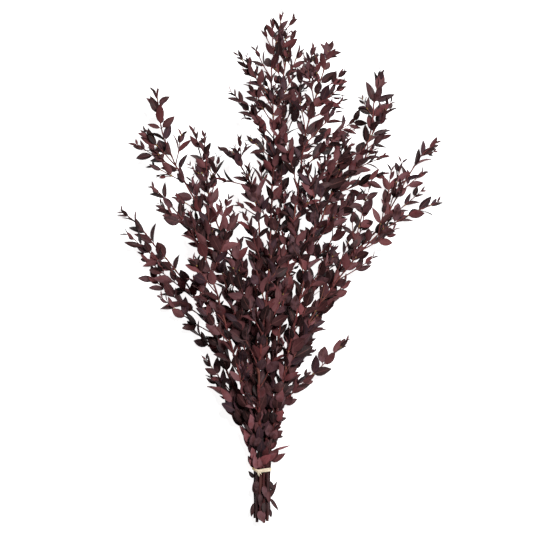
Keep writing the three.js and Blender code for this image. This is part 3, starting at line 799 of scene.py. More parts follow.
@dataclass(frozen=True)
class LeafPlace:
    """Where a leaf grows on its wood."""

    line: Line
    centres: Array
    keys: tuple[int, int]
    pair: int
    side: int
    at: float
    size: float
    resting: bool = False

    @property
    def own_keys(self) -> tuple[int, ...]:
        """The keys of this leaf's own draws."""
        return (*self.keys, self.pair, self.side)

    @property
    def is_carried(self) -> bool:
        """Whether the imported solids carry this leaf."""
        every, pairs = LEAF.carried_on_stem if self.keys[1] == 0 else LEAF.carried_on_shoot
        return self.pair % every in pairs and self.side == self.pair // every % 2

    @cached_property
    def forward(self) -> Array:
        """The way that the wood runs here."""
        return self.line.heading(self.at)

    @cached_property
    def foot(self) -> Array:
        """The point of the wood's line here."""
        return self.line.at(self.at)

    @cached_property
    def packed_foot(self) -> Array:
        """The point here on the straight runs of the solids' wood."""
        return onto_runs(self.centres, self.foot)

    @property
    def turn(self) -> float:
        """Where round the wood this leaf grows, in degrees: a quarter turn a pair, a half turn a side."""
        phase = spread((-LEAF.phase, LEAF.phase), *self.keys, Draw.PHASE)
        return phase + 90 * self.pair + 180 * self.side

    def grow(self, turned: float = 0, closed: float = 1) -> Leaf:
        """The leaf of this place.

        Args:
            turned: Degrees round the wood from where it would stand in free air.
            closed: How far it opens, as a share of that in free air.

        Returns:
            The leaf, rooted on the straight runs of the solids' wood.
        """
        own = self.own_keys
        forward = self.forward
        growth = min(1, LEAF.young + LEAF.growth * self.pair)
        length = LEAF.length * self.size * growth * spread(LEAF.length_range, *own, Draw.LENGTH)
        widened = min(1, LEAF.narrow + LEAF.widening * self.pair)
        width = length * widened * spread(LEAF.width_range, *own, Draw.WIDTH)
        slim = 0.0 if self.is_carried else float(np.interp(self.foot[1], LEAF.slim_heights, (0, 1)))
        length, width = length * (1 + LEAF.longer * slim), width * (1 - LEAF.slimmer * slim)
        turn = self.turn + spread((-LEAF.sway, LEAF.sway), *own, Draw.SWAY) + turned
        opening = min(LEAF.opening_most, LEAF.opening_young + LEAF.opening_per_pair * self.pair)
        opening += spread(LEAF.opening_range, *own, Draw.OPEN)
        along = leaf_direction(forward, math.radians(turn), math.radians(opening) * closed)
        normal = square_to(along, forward)
        lit = square_to(along, UP)
        if lit.dot(normal) < 0:
            lit = -lit
        normal = unit(normal + (lit - normal) * LEAF.turned_to_light * (1 - LEAF.less_lit * slim))
        roll = math.radians(spread((-LEAF.roll, LEAF.roll), *own, Draw.ROLL))
        normal = turned_about(along, normal, roll)
        return Leaf(self.packed_foot, along, normal, length, width, LEAF.arch, own)

    def rest(self) -> Leaf:
        """The leaf of this place where its shoot has sunk to the floor.

        Returns:
            The leaf, lying flat on the floor.
        """
        length_share = spread(RESTING.length_range, *self.keys, self.side, Draw.RESTING)
        length = LEAF.length * self.size * length_share
        forward = unit(self.line.heading(1) * (1, 1, 0))
        back = self.side * RESTING.between / self.line.length
        root = onto_runs(self.centres, self.line.at(self.at - back)) * (1, 1, 0) + UP * RESTING.height
        opening = math.radians(-RESTING.opening if self.side else RESTING.opening)
        along = turned_about(UP, forward, opening)
        return Leaf(root, along, -UP, length, length * RESTING.width, 0, self.own_keys)


def leaf_direction(forward: Array, turn: float, opening: float) -> Array:
    """The way that a leaf leaves its wood.

    Args:
        forward: The way that the wood runs.
        turn: The angle round the wood, in radians.
        opening: The angle away from the wood, in radians.

    Returns:
        The way along the leaf.
    """
    across = unit(cross(forward, UP))
    above = cross(across, forward)
    outward = across * math.cos(turn) + above * math.sin(turn)
    return forward * math.cos(opening) + outward * math.sin(opening)


def leaf_places(
    line: Line, centres: Array, keys: tuple[int, int],
    size: float, bare: float, spacing: float, spaced: float = 1,
) -> Iterator[LeafPlace]:
    """Opposite leaves, each pair turned a quarter from the last, from the tip down to the bare wood.

    Args:
        line: What the wood follows.
        centres: The middles of the rings of the solids' wood.
        keys: What tells one shoot's draws from another's.
        size: The leaves' size, 1 for the usual one.
        bare: The length of bare wood at the foot.
        spacing: The widest spacing of the pairs.
        spaced: How much wider each spacing is than the usual one.

    Yields:
        The place of each leaf.
    """
    distance = line.length - SPACING.bare_tip
    pair = 0
    while distance > bare:
        for side in (0, 1):
            yield LeafPlace(line, centres, keys, pair, side, distance / line.length, size)
        gap = min(spacing, SPACING.youngest + SPACING.per_pair * (pair + 1))
        distance -= gap * spaced * spread(SPACING.range, *keys, pair, Draw.SPACING)
        pair += 1


class Crowd:
    """The cells of space that leaves have taken, to tell how free the place of a new one is."""

    CELL = 2.6

    def __init__(self) -> None:
        """Starts with nothing placed."""
        self.taken: set[tuple[int, int, int]] = set()

    def cells(self, leaf: Leaf) -> set[tuple[int, int, int]]:
        """The cells that a leaf passes through."""
        return set(map(tuple, np.floor(leaf.samples() / self.CELL).astype(int).tolist()))

    def add(self, leaf: Leaf) -> None:
        """Takes a leaf's cells."""
        self.taken |= self.cells(leaf)

    def freest(self, leaves: Iterable[Leaf]) -> Leaf:
        """The first of several ways to place a leaf that meets the fewest taken cells.

        Args:
            leaves: The leaf in each way.

        Returns:
            The leaf in the freest way.
        """
        best, fewest = None, math.inf
        for leaf in leaves:
            met = len(self.cells(leaf) & self.taken)
            if met < fewest:
                best, fewest = leaf, met
            if not met:
                break
        return best


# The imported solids


class PackedNode:
    """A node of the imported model, searched for the places of its vertices."""

    def __init__(self, name: str, middle: Array) -> None:
        """Reads the node's vertices.

        Args:
            name: The node.
            middle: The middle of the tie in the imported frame, in millimetres.
        """
        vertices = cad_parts[name].data.vertices
        self.tree = KDTree(len(vertices))
        for vertex in vertices:
            self.tree.insert(np.array(vertex.co) / MM - middle, vertex.index)
        self.tree.balance()

    def distance(self, place: Array) -> float:
        """How far a place is from the nearest vertex, in millimetres."""
        return self.tree.find(place)[2]


# One growing stem


class Wood(Enum):
    """The kinds of wood, with their radius at the foot and at the tip, in millimetres."""

    STEM = (1.95, 0.74)
    SHOOT = (0.9, 0.46)
    TWIG = (0.55, 0.34)


@dataclass(frozen=True)
class Branch:
    """A length of wood, where its pairs of leaves stand as shares of its length, and how thick it is."""

    kind: Wood
    line: Line
    pairs: tuple[float, ...]
    thick: float


@dataclass
class GrownStem:
    """A main stem with its shoots and leaves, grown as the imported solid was. Lengths are in millimetres.

    A leaf that would pass through the floor is laid on it: its root and its tip are then so many times as
    high as the lowest leaf may be.
    """

    plan: StemPlan
    number: int
    middle: Array
    crowd: Crowd
    bundle_height: float = 10
    cut_end_gather: float = 0.96
    neck_height: float = 24
    neck_spread: float = 0.16
    rings_per_span: int = 2
    height_steps: int = 400
    bow: tuple[float, float] = (-0.02, 0.12)
    shoot_arch: float = 0.06
    lowest_tip: float = 5
    short_shoot: float = 65
    short_shoot_runs: int = 2
    long_shoot_runs: int = 3
    lifts: tuple[float, ...] = (0, 7, -7, 14, -14, 21, -21, 28, -28)
    same_place: float = 0.15
    lowest_leaf: float = 0.6
    laid_root: float = 1.5
    laid_tip: float = 1.6
    least_level_squared: float = 0.05
    laid_arch: float = 0.02
    ways_round: int = 5
    ways_closed: int = 2
    hugging_heights: tuple[float, float] = (60, 330)
    hugging: tuple[float, float] = (0.6, 1.0)
    line: SmoothLine = field(init=False)
    centres: Array = field(init=False)
    packed: PackedNode = field(init=False)
    shoot_lines: list[BowedLine] = field(init=False, default_factory=list)
    leaves: list[Leaf] = field(init=False, default_factory=list)
    branches: list[Branch] = field(init=False, default_factory=list)

    def __post_init__(self) -> None:
        """Grows the stem's line and its shoots."""
        plan = self.plan
        x, z = plan.tie
        gather = self.cut_end_gather
        cut = np.array([x * gather, -plan.cut, self.bundle_height + z * gather])
        tied = np.array([x, 0.0, self.bundle_height + z])
        neck = tied + (np.array(plan.path[0]) - tied) * self.neck_spread
        neck[1] = self.neck_height
        self.line = SmoothLine([cut, tied, neck, *(np.array(place, float) for place in plan.path)])
        rings = self.rings_per_span * self.line.spans
        self.centres = self.line.places(np.linspace(0, 1, rings + 1))
        self.packed = PackedNode(plan.name, self.middle)
        self.shoot_lines = [self.grow_shoot(index, shoot) for index, shoot in enumerate(plan.shoots)]

    def share_at_height(self, height: float) -> float:
        """Where the stem passes a height above the tie.

        Args:
            height: The height, in millimetres.

        Returns:
            The place, as a share of the stem's length.
        """
        heights = self.line.spaced(self.height_steps)[:, 1]
        after = int(np.argmax(heights > height))
        low, high = heights[after - 1], heights[after]
        return (after - 1 + (height - low) / (high - low)) / self.height_steps

    def grow_shoot(self, index: int, shoot: ShootPlan) -> BowedLine:
        """The line of a side shoot, raised or sunk as its solid was to pass its neighbours.

        Args:
            index: The shoot's place among those of its stem.
            shoot: Its plan.

        Returns:
            The line.
        """
        share = self.share_at_height(shoot.start)
        base = onto_runs(self.centres, self.line.at(share))
        stemward = self.line.heading(share)
        bow = spread(self.bow, self.number, index + 1, Draw.BOW)
        raised = [max(base[2] + shoot.rise + lift, self.lowest_tip) for lift in self.lifts]
        ways = []
        for height in [RESTING.height] if shoot.resting else raised:
            tip = np.array([*shoot.tip, height])
            reach = np.linalg.norm(tip - base)
            bend = (base + tip) / 2 - stemward * (bow * reach) + UP * (self.shoot_arch * reach)
            ways.append(BowedLine(base, bend, tip))
        return min(ways, key=lambda way: self.packed.distance(way.tip))

    def shoot_centres(self, line: Line) -> Array:
        """The middles of the rings of a shoot's solid."""
        return line.spaced(self.long_shoot_runs if line.length > self.short_shoot else self.short_shoot_runs)

    def add_branch(self, kind: Wood, line: Line, places: list[LeafPlace]) -> None:
        """Keeps a length of wood with the places of its leaves."""
        thick = self.plan.thick if kind is Wood.STEM else 1
        self.branches.append(Branch(kind, line, tuple(sorted({place.at for place in places})), thick))

    def places(self) -> list[LeafPlace]:
        """Finds where leaves grow on the stem and its shoots, and keeps their wood.

        Returns:
            The places of all the leaves.
        """
        plan = self.plan
        bare = plan.cut + SPACING.bare_above_tie
        found = list(leaf_places(
            self.line, self.centres, (self.number, 0), plan.leaf, bare, SPACING.on_stem, plan.gap,
        ))
        self.add_branch(Wood.STEM, self.line, found)
        for index, (shoot, line) in enumerate(zip(plan.shoots, self.shoot_lines)):
            centres = self.shoot_centres(line)
            keys = (self.number, index + 1)
            on_shoot = list(leaf_places(
                line, centres, keys, plan.leaf, SPACING.bare_shoot, SPACING.on_shoot, plan.gap,
            ))
            self.add_branch(Wood.SHOOT, line, on_shoot)
            found += [
                replace(place, resting=True) if shoot.resting and place.pair == 0 else place
                for place in on_shoot
            ]
        return found

    def twig_places(self, place: LeafPlace, index: int) -> list[LeafPlace]:
        """Grows a twig beside a leaf.

        Args:
            place: Where that leaf grows.
            index: How many twigs the stem has already.

        Returns:
            The places of the twig's leaves.
        """
        own = place.own_keys
        opening = math.radians(spread(TWIG.opening, *own, Draw.TWIG_OPEN))
        along = leaf_direction(place.forward, math.radians(place.turn), opening)
        ahead = place.line.length * (1 - place.at)
        length = min(spread(TWIG.length, *own, Draw.TWIG_LENGTH), TWIG.share_ahead * ahead)
        tip = place.foot + along * length
        tip[2] = max(tip[2], TWIG.lowest)
        bend = (place.foot + tip) / 2 - place.forward * (TWIG.bow * length)
        line = BowedLine(place.foot, bend, tip)
        keys = (self.number, TWIG.first_key + index)
        places = list(leaf_places(
            line, line.spaced(TWIG.runs), keys, place.size * TWIG.leaf, TWIG.bare, TWIG.spacing,
        ))
        self.add_branch(Wood.TWIG, line, places)
        return places

    def grow_twigs(self, places: list[LeafPlace]) -> None:
        """Grows the twigs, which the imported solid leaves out, with their leaves.

        Args:
            places: Where the other leaves grow, beside which a twig may stand.
        """
        index = 0
        for place in places:
            x, y, _ = place.foot
            share = np.interp(y, TWIG.heights, TWIG.shares)
            share *= np.interp(abs(x), TWIG.middle, (1, TWIG.outer_share))
            if place.pair < TWIG.first_pair or draw(*place.own_keys, Draw.TWIG) > share:
                continue
            self.grow_others(self.twig_places(place, index))
            index += 1

    def carried_leaf(self, place: LeafPlace) -> Leaf | None:
        """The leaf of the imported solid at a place.

        Args:
            place: The place.

        Returns:
            The leaf, or None where the solid has none.
        """
        for closed in LEAF.closings:
            for turned in LEAF.turns:
                leaf = place.grow(turned, closed)
                if self.packed.distance(leaf.tip) < self.same_place:
                    return leaf
        return None

    def above_floor(self, leaf: Leaf) -> bool:
        """Whether all of a leaf is above the floor."""
        return leaf.samples()[:, 2].min() > self.lowest_leaf

    def laid_on_floor(self, leaf: Leaf) -> Leaf:
        """A leaf that would pass through the floor, tipped up until it lies just above it.

        Args:
            leaf: The leaf in free air.

        Returns:
            The leaf as it lies.
        """
        root = leaf.root + UP * max(0.0, self.laid_root * self.lowest_leaf - leaf.root[2])
        rise = (self.laid_tip * self.lowest_leaf - root[2]) / leaf.length
        level = math.sqrt(max(1 - rise * rise, self.least_level_squared))
        along = unit(unit(leaf.along * (1, 1, 0)) * level + UP * rise)
        normal = square_to(along, UP if leaf.normal[2] > 0 else -UP)
        return replace(leaf, root=root, along=along, normal=normal, arch=self.laid_arch)

    def free_leaf(self, place: LeafPlace) -> Leaf:
        """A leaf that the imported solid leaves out, in the freest way for its place.

        Args:
            place: The place.

        Returns:
            The leaf.
        """
        hugging = float(np.interp(place.foot[1], self.hugging_heights, self.hugging))
        ways = [
            place.grow(turned, closed * hugging)
            for closed in LEAF.closings[:self.ways_closed] for turned in LEAF.turns[:self.ways_round]
        ]
        clear = [leaf for leaf in ways if self.above_floor(leaf)]
        return self.crowd.freest(clear) if clear else self.laid_on_floor(ways[0])

    def keep(self, leaf: Leaf) -> None:
        """Gives a leaf its place."""
        self.leaves.append(leaf)
        self.crowd.add(leaf)

    def grow_carried(self) -> list[LeafPlace]:
        """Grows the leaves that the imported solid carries, and those that are placed one by one.

        Returns:
            The places of the other leaves.
        """
        others = []
        for place in self.places():
            if place.resting:
                self.keep(place.rest())
            elif place.is_carried and (leaf := self.carried_leaf(place)):
                self.keep(replace(leaf, root=place.foot))
            else:
                others.append(place)
        for index, plan in enumerate(SINGLE_LEAVES):
            if plan.stem == self.plan.name:
                self.keep(self.single_leaf(index, plan))
        return others

    def grow_others(self, places: list[LeafPlace]) -> None:
        """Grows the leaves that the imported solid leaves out, and buds beside some of them.

        Args:
            places: Where they grow.
        """
        for place in places:
            leaf = self.free_leaf(place)
            self.keep(replace(leaf, root=place.foot + leaf.root - place.packed_foot))
            if draw(*place.own_keys, Draw.BUD) < BUD.share:
                self.leaves.append(self.bud(place))

    def bud(self, place: LeafPlace) -> Leaf:
        """A bud on the upper side of the wood where a leaf grows.

        Args:
            place: Where that leaf grows.

        Returns:
            The bud, as a small leaf.
        """
        along = unit(place.forward + UP * BUD.upright)
        facing = square_to(along, UP)
        return Leaf(place.foot, along, facing, BUD.length, BUD.width, 0.0, place.own_keys, Tint.BUD)

    def single_leaf(self, index: int, plan: SingleLeafPlan) -> Leaf:
        """A leaf that is placed by itself.

        Args:
            index: Its place in the list of them.
            plan: Its plan.

        Returns:
            The leaf.
        """
        share = self.share_at_height(plan.at)
        forward = self.line.heading(share)
        along = leaf_direction(forward, math.radians(plan.turn), math.radians(plan.opening))
        roll = math.radians(spread((-SINGLE.roll, SINGLE.roll), index, Draw.SINGLE))
        normal = turned_about(along, square_to(along, UP), roll)
        width = plan.length * plan.wide
        root = self.line.at(share)
        return Leaf(root, along, normal, plan.length, width, SINGLE.arch, (SINGLE.key, index), plan.tint)


# Making meshes


def deselect() -> None:
    """Leaves nothing selected, so that an operator acts on the new piece alone."""
    bpy.ops.object.select_all(action="DESELECT")


def pick_only(piece: bpy.types.Object) -> None:
    """Selects one piece and makes it the active one.

    Args:
        piece: The piece.
    """
    deselect()
    piece.select_set(True)
    bpy.context.view_layer.objects.active = piece


def add_grid(name: str, runs: int, strips: int) -> bpy.types.Object:
    """A flat grid from 0 to 1 along X and half a unit to each side along Y.

    Args:
        name: The new piece's name.
        runs: How many faces it has along X.
        strips: How many faces it has along Y.

    Returns:
        The grid, with its place in its mesh.
    """
    deselect()
    bpy.ops.mesh.primitive_grid_add(
        x_subdivisions=runs, y_subdivisions=strips, size=1, location=(0.5, 0, 0), calc_uvs=True,
    )
    bpy.ops.object.transform_apply(location=True)
    grid = bpy.context.object
    grid.name = name
    return grid


def select_vertices(piece: bpy.types.Object, wanted: set[int]) -> None:
    """Selects vertices of a piece in edit mode.

    Args:
        piece: The piece.
        wanted: The vertices' numbers.
    """
    bpy.ops.mesh.select_all(action="DESELECT")
    mesh = bmesh.from_edit_mesh(piece.data)
    mesh.verts.ensure_lookup_table()
    for index in wanted:
        mesh.verts[index].select_set(True)
    mesh.select_flush(True)
    bmesh.update_edit_mesh(piece.data)


def apply_modifier(piece: bpy.types.Object, modifier: bpy.types.Modifier) -> None:
    """Makes a modifier's result the piece's own mesh."""
    pick_only(piece)
    bpy.ops.object.modifier_apply(modifier=modifier.name)


def corners_of(piece: bpy.types.Object) -> Array:
    """The places of a piece's vertices.

    Args:
        piece: The piece.

    Returns:
        A row for each vertex.
    """
    flat = np.zeros(len(piece.data.vertices) * 3)
    piece.data.vertices.foreach_get("co", flat)
    return flat.reshape(-1, 3)


def keep_values(piece: bpy.types.Object, name: str, values: Array) -> None:
    """Keeps a number for each vertex of a piece, for its finish to read."""
    piece.data.attributes.new(name, "FLOAT", "POINT").data.foreach_set("value", values)


def soften(piece: bpy.types.Object, degrees: float) -> None:
    """Shades a piece smooth, apart from its edges sharper than an angle."""
    pick_only(piece)
    bpy.ops.object.shade_smooth_by_angle(angle=math.radians(degrees))


def remove_piece(piece: bpy.types.Object) -> None:
    """Removes a pattern once its shape has been copied."""
    bpy.data.objects.remove(piece, do_unlink=True)


def add_to_bunch(
    piece: bpy.types.Object, node: str, materials: Sequence[bpy.types.Material],
) -> None:
    """Dresses a finished piece and gives it its place in the model.

    Args:
        piece: The piece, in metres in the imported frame.
        node: The node that it stands for.
        materials: Its materials, in the order of its faces' numbers.
    """
    piece.data.materials.clear()
    for material in materials:
        piece.data.materials.append(material)
    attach(piece, "root")
    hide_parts(node)
    log.info("%s: %d faces", piece.name, len(piece.data.polygons))


class Slot(str, Enum):
    """Names for the material slots."""

    LEAFY_STEM = "leafy_stem"
    RAFFIA = "raffia"


# The pattern that every leaf is copied from


@dataclass
class Pattern:
    """A shape that is copied often: its corners, its faces, and where each corner of a face is on it."""

    corners: Array
    faces: list[tuple[int, ...]]
    uvs: Array

    @classmethod
    def copied_from(cls, piece: bpy.types.Object) -> Pattern:
        """The shape of a modelled piece.

        Args:
            piece: The piece, with a map of its surface.

        Returns:
            The shape.
        """
        layer = piece.data.uv_layers[0].data
        uvs = np.zeros(len(layer) * 2)
        layer.foreach_get("uv", uvs)
        faces = [tuple(face.vertices) for face in piece.data.polygons]
        return cls(corners_of(piece), faces, uvs.reshape(-1, 2))


@dataclass
class LeafPattern:
    """A leaf with its stalk, one unit long. Its blade is a unit wide and its stalk about a unit thick.

    A row is where a line of the grid ends up, as a share of the blade's length. Full and pointed are the
    powers that shape the blade's two ends, and nearness is how close to a line its corners are looked for.
    """

    runs: int = 6
    strips: int = 4
    stalk: float = 0.09
    stalk_into_blade: float = 0.12
    stalk_sides: int = 4
    rows: tuple[float, ...] = (0.0, 0.13, 0.31, 0.52, 0.72, 0.88, 1.0)
    full_power: float = 0.7
    pointed_power: float = 1.05
    narrowest: float = 1e-4
    nearness: float = 0.01
    stalk_foot: float = 0.6
    stalk_top: float = 0.3
    rib_foot: tuple[float, float] = (0, 0.5)
    blade: Pattern = field(init=False)
    stem: Pattern = field(init=False)

    def __post_init__(self) -> None:
        """Models the blade and the stalk."""
        self.blade = self.model_blade()
        self.stem = self.model_stalk()

    def half_width(self, share: float) -> float:
        """Half the blade's width, with the widest place at half a unit.

        Args:
            share: Where, as a share of the blade's own length.

        Returns:
            The half width.
        """
        rise, fall = self.full_power, self.pointed_power
        widest = rise / (rise + fall)
        most = widest**rise * (1 - widest) ** fall
        return 0.5 * share**rise * (1 - share) ** fall / most

    def model_blade(self) -> Pattern:
        """The blade: a grid drawn in to an oval with a point, thick inside and thin at its edge.

        Returns:
            Its shape.
        """
        blade = add_grid("leaf_pattern", self.runs, self.strips)
        start = corners_of(blade)
        bpy.ops.object.mode_set(mode="EDIT")
        for row, share in enumerate(self.rows):
            x = row / self.runs
            picked = {int(index) for index in np.flatnonzero(np.abs(start[:, 0] - x) < self.nearness)}
            select_vertices(blade, picked)
            wide = max(2 * self.half_width(share), self.narrowest)
            bpy.ops.transform.resize(value=(1, wide, 1), center_override=(x, 0, 0))
            place = self.stalk + (1 - self.stalk) * share
            bpy.ops.transform.translate(value=(place - x, 0, 0))
        bpy.ops.object.mode_set(mode="OBJECT")
        from_middle = np.abs(start[:, :2] - (0.5, 0))
        inner = np.flatnonzero((from_middle < 0.5 - self.nearness).all(axis=1))
        group = blade.vertex_groups.new(name="inside_the_edge")
        group.add([int(index) for index in inner], 1.0, "REPLACE")
        body = blade.modifiers.new("Body", "SOLIDIFY")
        body.thickness = 1
        body.offset = 0
        body.vertex_group = group.name
        body.thickness_vertex_group = 0
        apply_modifier(blade, body)
        bpy.ops.object.mode_set(mode="EDIT")
        bpy.ops.mesh.select_all(action="SELECT")
        bpy.ops.mesh.remove_doubles(threshold=1e-3)
        bpy.ops.mesh.dissolve_degenerate(threshold=1e-4)
        bpy.ops.mesh.select_all(action="SELECT")
        bpy.ops.mesh.normals_make_consistent(inside=False)
        bpy.ops.object.mode_set(mode="OBJECT")
        pattern = Pattern.copied_from(blade)
        remove_piece(blade)
        return pattern

    def model_stalk(self) -> Pattern:
        """The stalk: a slim cone that runs a little way under the blade.

        Returns:
            Its shape. All of it takes the colour of the foot of the blade's rib.
        """
        deselect()
        length = self.stalk + self.stalk_into_blade
        bpy.ops.mesh.primitive_cone_add(
            vertices=self.stalk_sides, radius1=self.stalk_foot, radius2=self.stalk_top, depth=length,
            location=(length / 2, 0, 0), rotation=(0, math.pi / 2, 0), calc_uvs=True,
        )
        bpy.ops.object.transform_apply(location=True, rotation=True)
        stalk = bpy.context.object
        pattern = Pattern.copied_from(stalk)
        pattern.uvs[:] = self.rib_foot
        remove_piece(stalk)
        return pattern


@dataclass(frozen=True)
class LeafShape:
    """How one leaf is bent out of the flat pattern."""

    thickness: float = 0.55
    stalk_thickness: float = 1.0
    fold: tuple[float, float] = (0.02, 0.42)
    twist: tuple[float, float] = (-22, 22)
    sweep: tuple[float, float] = (-0.07, 0.07)
    taper: tuple[float, float] = (-0.3, 0.3)
    wave: tuple[float, float] = (-0.05, 0.05)
    waves: float = 1.6
    bent_from: float = 0.3

    def laid(self, corners: Array, leaf: Leaf, across: float, through: float) -> Array:
        """The places of a pattern's corners on one leaf.

        Args:
            corners: The pattern's corners.
            leaf: The leaf.
            across: Millimetres for a unit across.
            through: Millimetres for a unit through.

        Returns:
            The places, in millimetres.
        """
        keys = leaf.keys
        x, y, z = corners[:, 0], corners[:, 1] * across, corners[:, 2] * through
        y = y * (1 + spread(self.taper, *keys, Draw.TAPER) * (0.5 - x))
        wave = spread(self.wave, *keys, Draw.WAVE) * np.sin(x * 2 * math.pi * self.waves)
        z = z + (spread(self.fold, *keys, Draw.FOLD) + wave) * np.abs(y)
        twist = np.radians(spread(self.twist, *keys, Draw.TWIST)) * (x - self.bent_from)
        y, z = y * np.cos(twist) - z * np.sin(twist), y * np.sin(twist) + z * np.cos(twist)
        y = y + spread(self.sweep, *keys, Draw.SWEEP) * leaf.length * x * (x - 1)
        z = z + 4 * x * (1 - x) * leaf.arch * leaf.length
        return (
            leaf.root + np.outer(x * leaf.length, leaf.along) + np.outer(y, leaf.side)
            + np.outer(z, leaf.normal)
        )


class Foliage:
    """The leaves of one stem in one mesh, with what tells their colours apart."""

    LOWEST = 0.05
    SHARPEST = 50
    DRAWN = {"tone": Draw.TONE, "red": Draw.RED, "dust": Draw.DUST}

    def __init__(self, pattern: LeafPattern, shape: LeafShape, lift: float) -> None:
        """Starts with no leaves.

        Args:
            pattern: What each leaf is copied from.
            shape: How the copies are bent.
            lift: How much lighter the leaves are than the usual ones, as painted light (painted shade below
                0).
        """
        self.pattern, self.shape, self.lift = pattern, shape, lift
        self.corners: list[Array] = []
        self.faces: list[tuple[int, ...]] = []
        self.uvs: list[Array] = []
        self.draws: dict[str, list[Array]] = {name: [] for name in (*self.DRAWN, "bud", "lift")}
        self.count = 0

    def add(self, leaf: Leaf) -> None:
        """Adds a leaf's blade and stalk.

        Args:
            leaf: The leaf.
        """
        shape = self.shape
        drawn = {name: draw(*leaf.keys, key) for name, key in self.DRAWN.items()}
        # The lift is painted light above 0 and painted shade below 0.
        told = {**drawn, "bud": 0.0, "lift": self.lift, **dict(leaf.tint.value)}
        for pattern, across, through in (
            (self.pattern.blade, leaf.width, shape.thickness),
            (self.pattern.stem, shape.stalk_thickness, shape.stalk_thickness),
        ):
            places = shape.laid(pattern.corners, leaf, across, through)
            places[:, 2] = np.maximum(places[:, 2], self.LOWEST)
            self.corners.append(places)
            self.faces += [tuple(index + self.count for index in face) for face in pattern.faces]
            self.uvs.append(pattern.uvs)
            for name, value in told.items():
                self.draws[name].append(np.full(len(places), value))
            self.count += len(places)

    def piece(self, name: str, middle: Array) -> bpy.types.Object:
        """All the leaves as one piece.

        Args:
            name: The piece's name.
            middle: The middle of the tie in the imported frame, in millimetres.

        Returns:
            The piece.
        """
        mesh = bpy.data.meshes.new(name)
        mesh.from_pydata((np.vstack(self.corners) + middle) * MM, [], self.faces)
        mesh.uv_layers.new(name="leaf").data.foreach_set("uv", np.concatenate(self.uvs).ravel())
        piece = bpy.data.objects.new(name, mesh)
        for attribute, values in self.draws.items():
            keep_values(piece, attribute, np.concatenate(values))
        mesh.validate()
        bpy.context.collection.objects.link(piece)
        soften(piece, self.SHARPEST)
        return piece


# Wood


@dataclass(frozen=True)
class WoodShape:
    """How wood is ringed, swells where pairs of leaves stand, wavers, and is redder where it is young.

    It wavers up and down at another rate than to the sides, so that it never runs in a plain coil.
    """

    run: float = 4.0
    fewest_runs: int = 4
    swelling: float = 1.35
    swelling_reach: float = 1.4
    waver: float = 0.4
    waver_length: float = 34.0
    waver_rise_rate: float = 1.3
    young_heights: tuple[float, float] = (30.0, 140.0)
    drawn: float = 0.5
    redder: float = 0.75

    def radii(self, branch: Branch, shares: Array) -> Array:
        """A branch's radius at shares of its length.

        Args:
            branch: The branch.
            shares: Where along it.

        Returns:
            The radii, in millimetres.
        """
        line = branch.line
        along = line.step(shares) if branch.kind is Wood.STEM else shares
        foot, tip = branch.kind.value
        swollen = np.ones(len(shares))
        for pair in branch.pairs:
            near = np.clip(1 - np.abs(shares - pair) * line.length / self.swelling_reach, 0, 1)
            swollen = np.maximum(swollen, 1 + (self.swelling - 1) * near)
        return (foot + (tip - foot) * along) * swollen * branch.thick

    def wavered(self, places: Array, key: int) -> Array:
        """Moves places along wood a little, as real wood wavers.

        Args:
            places: The places, in millimetres.
            key: The stem's number.

        Returns:
            The moved places.
        """
        phase = 2 * math.pi * draw(key, Draw.WAVER)
        turns = 2 * math.pi * places[:, 1] / self.waver_length + phase
        moved = [np.sin(turns), np.zeros(len(turns)), np.cos(self.waver_rise_rate * turns)]
        return places + self.waver * np.column_stack(moved)

    def tones(self, heights: Array, key: int) -> Array:
        """The tone of the bark, redder where the wood is young.

        Args:
            heights: Heights above the tie, in millimetres.
            key: The stem's number.

        Returns:
            The tone at each height, from 0 to 1.
        """
        low, high = self.young_heights
        young = np.clip((heights - low) / (high - low), 0, 1)
        return np.clip(self.drawn * draw(key, Draw.BARK) + self.redder * young, 0, 1)

    def shares(self, branch: Branch) -> Array:
        """Where along a branch its rings are: evenly, and round each swelling.

        Args:
            branch: The branch.

        Returns:
            The places, as shares of its length.
        """
        length = branch.line.length
        even = np.linspace(0, 1, max(self.fewest_runs, round(length / self.run)) + 1)
        reach = self.swelling_reach / length
        round_pairs = [pair + step * reach for pair in branch.pairs for step in (-1, 0, 1)]
        return np.unique(np.clip(np.concatenate([even, round_pairs]), 0, 1))


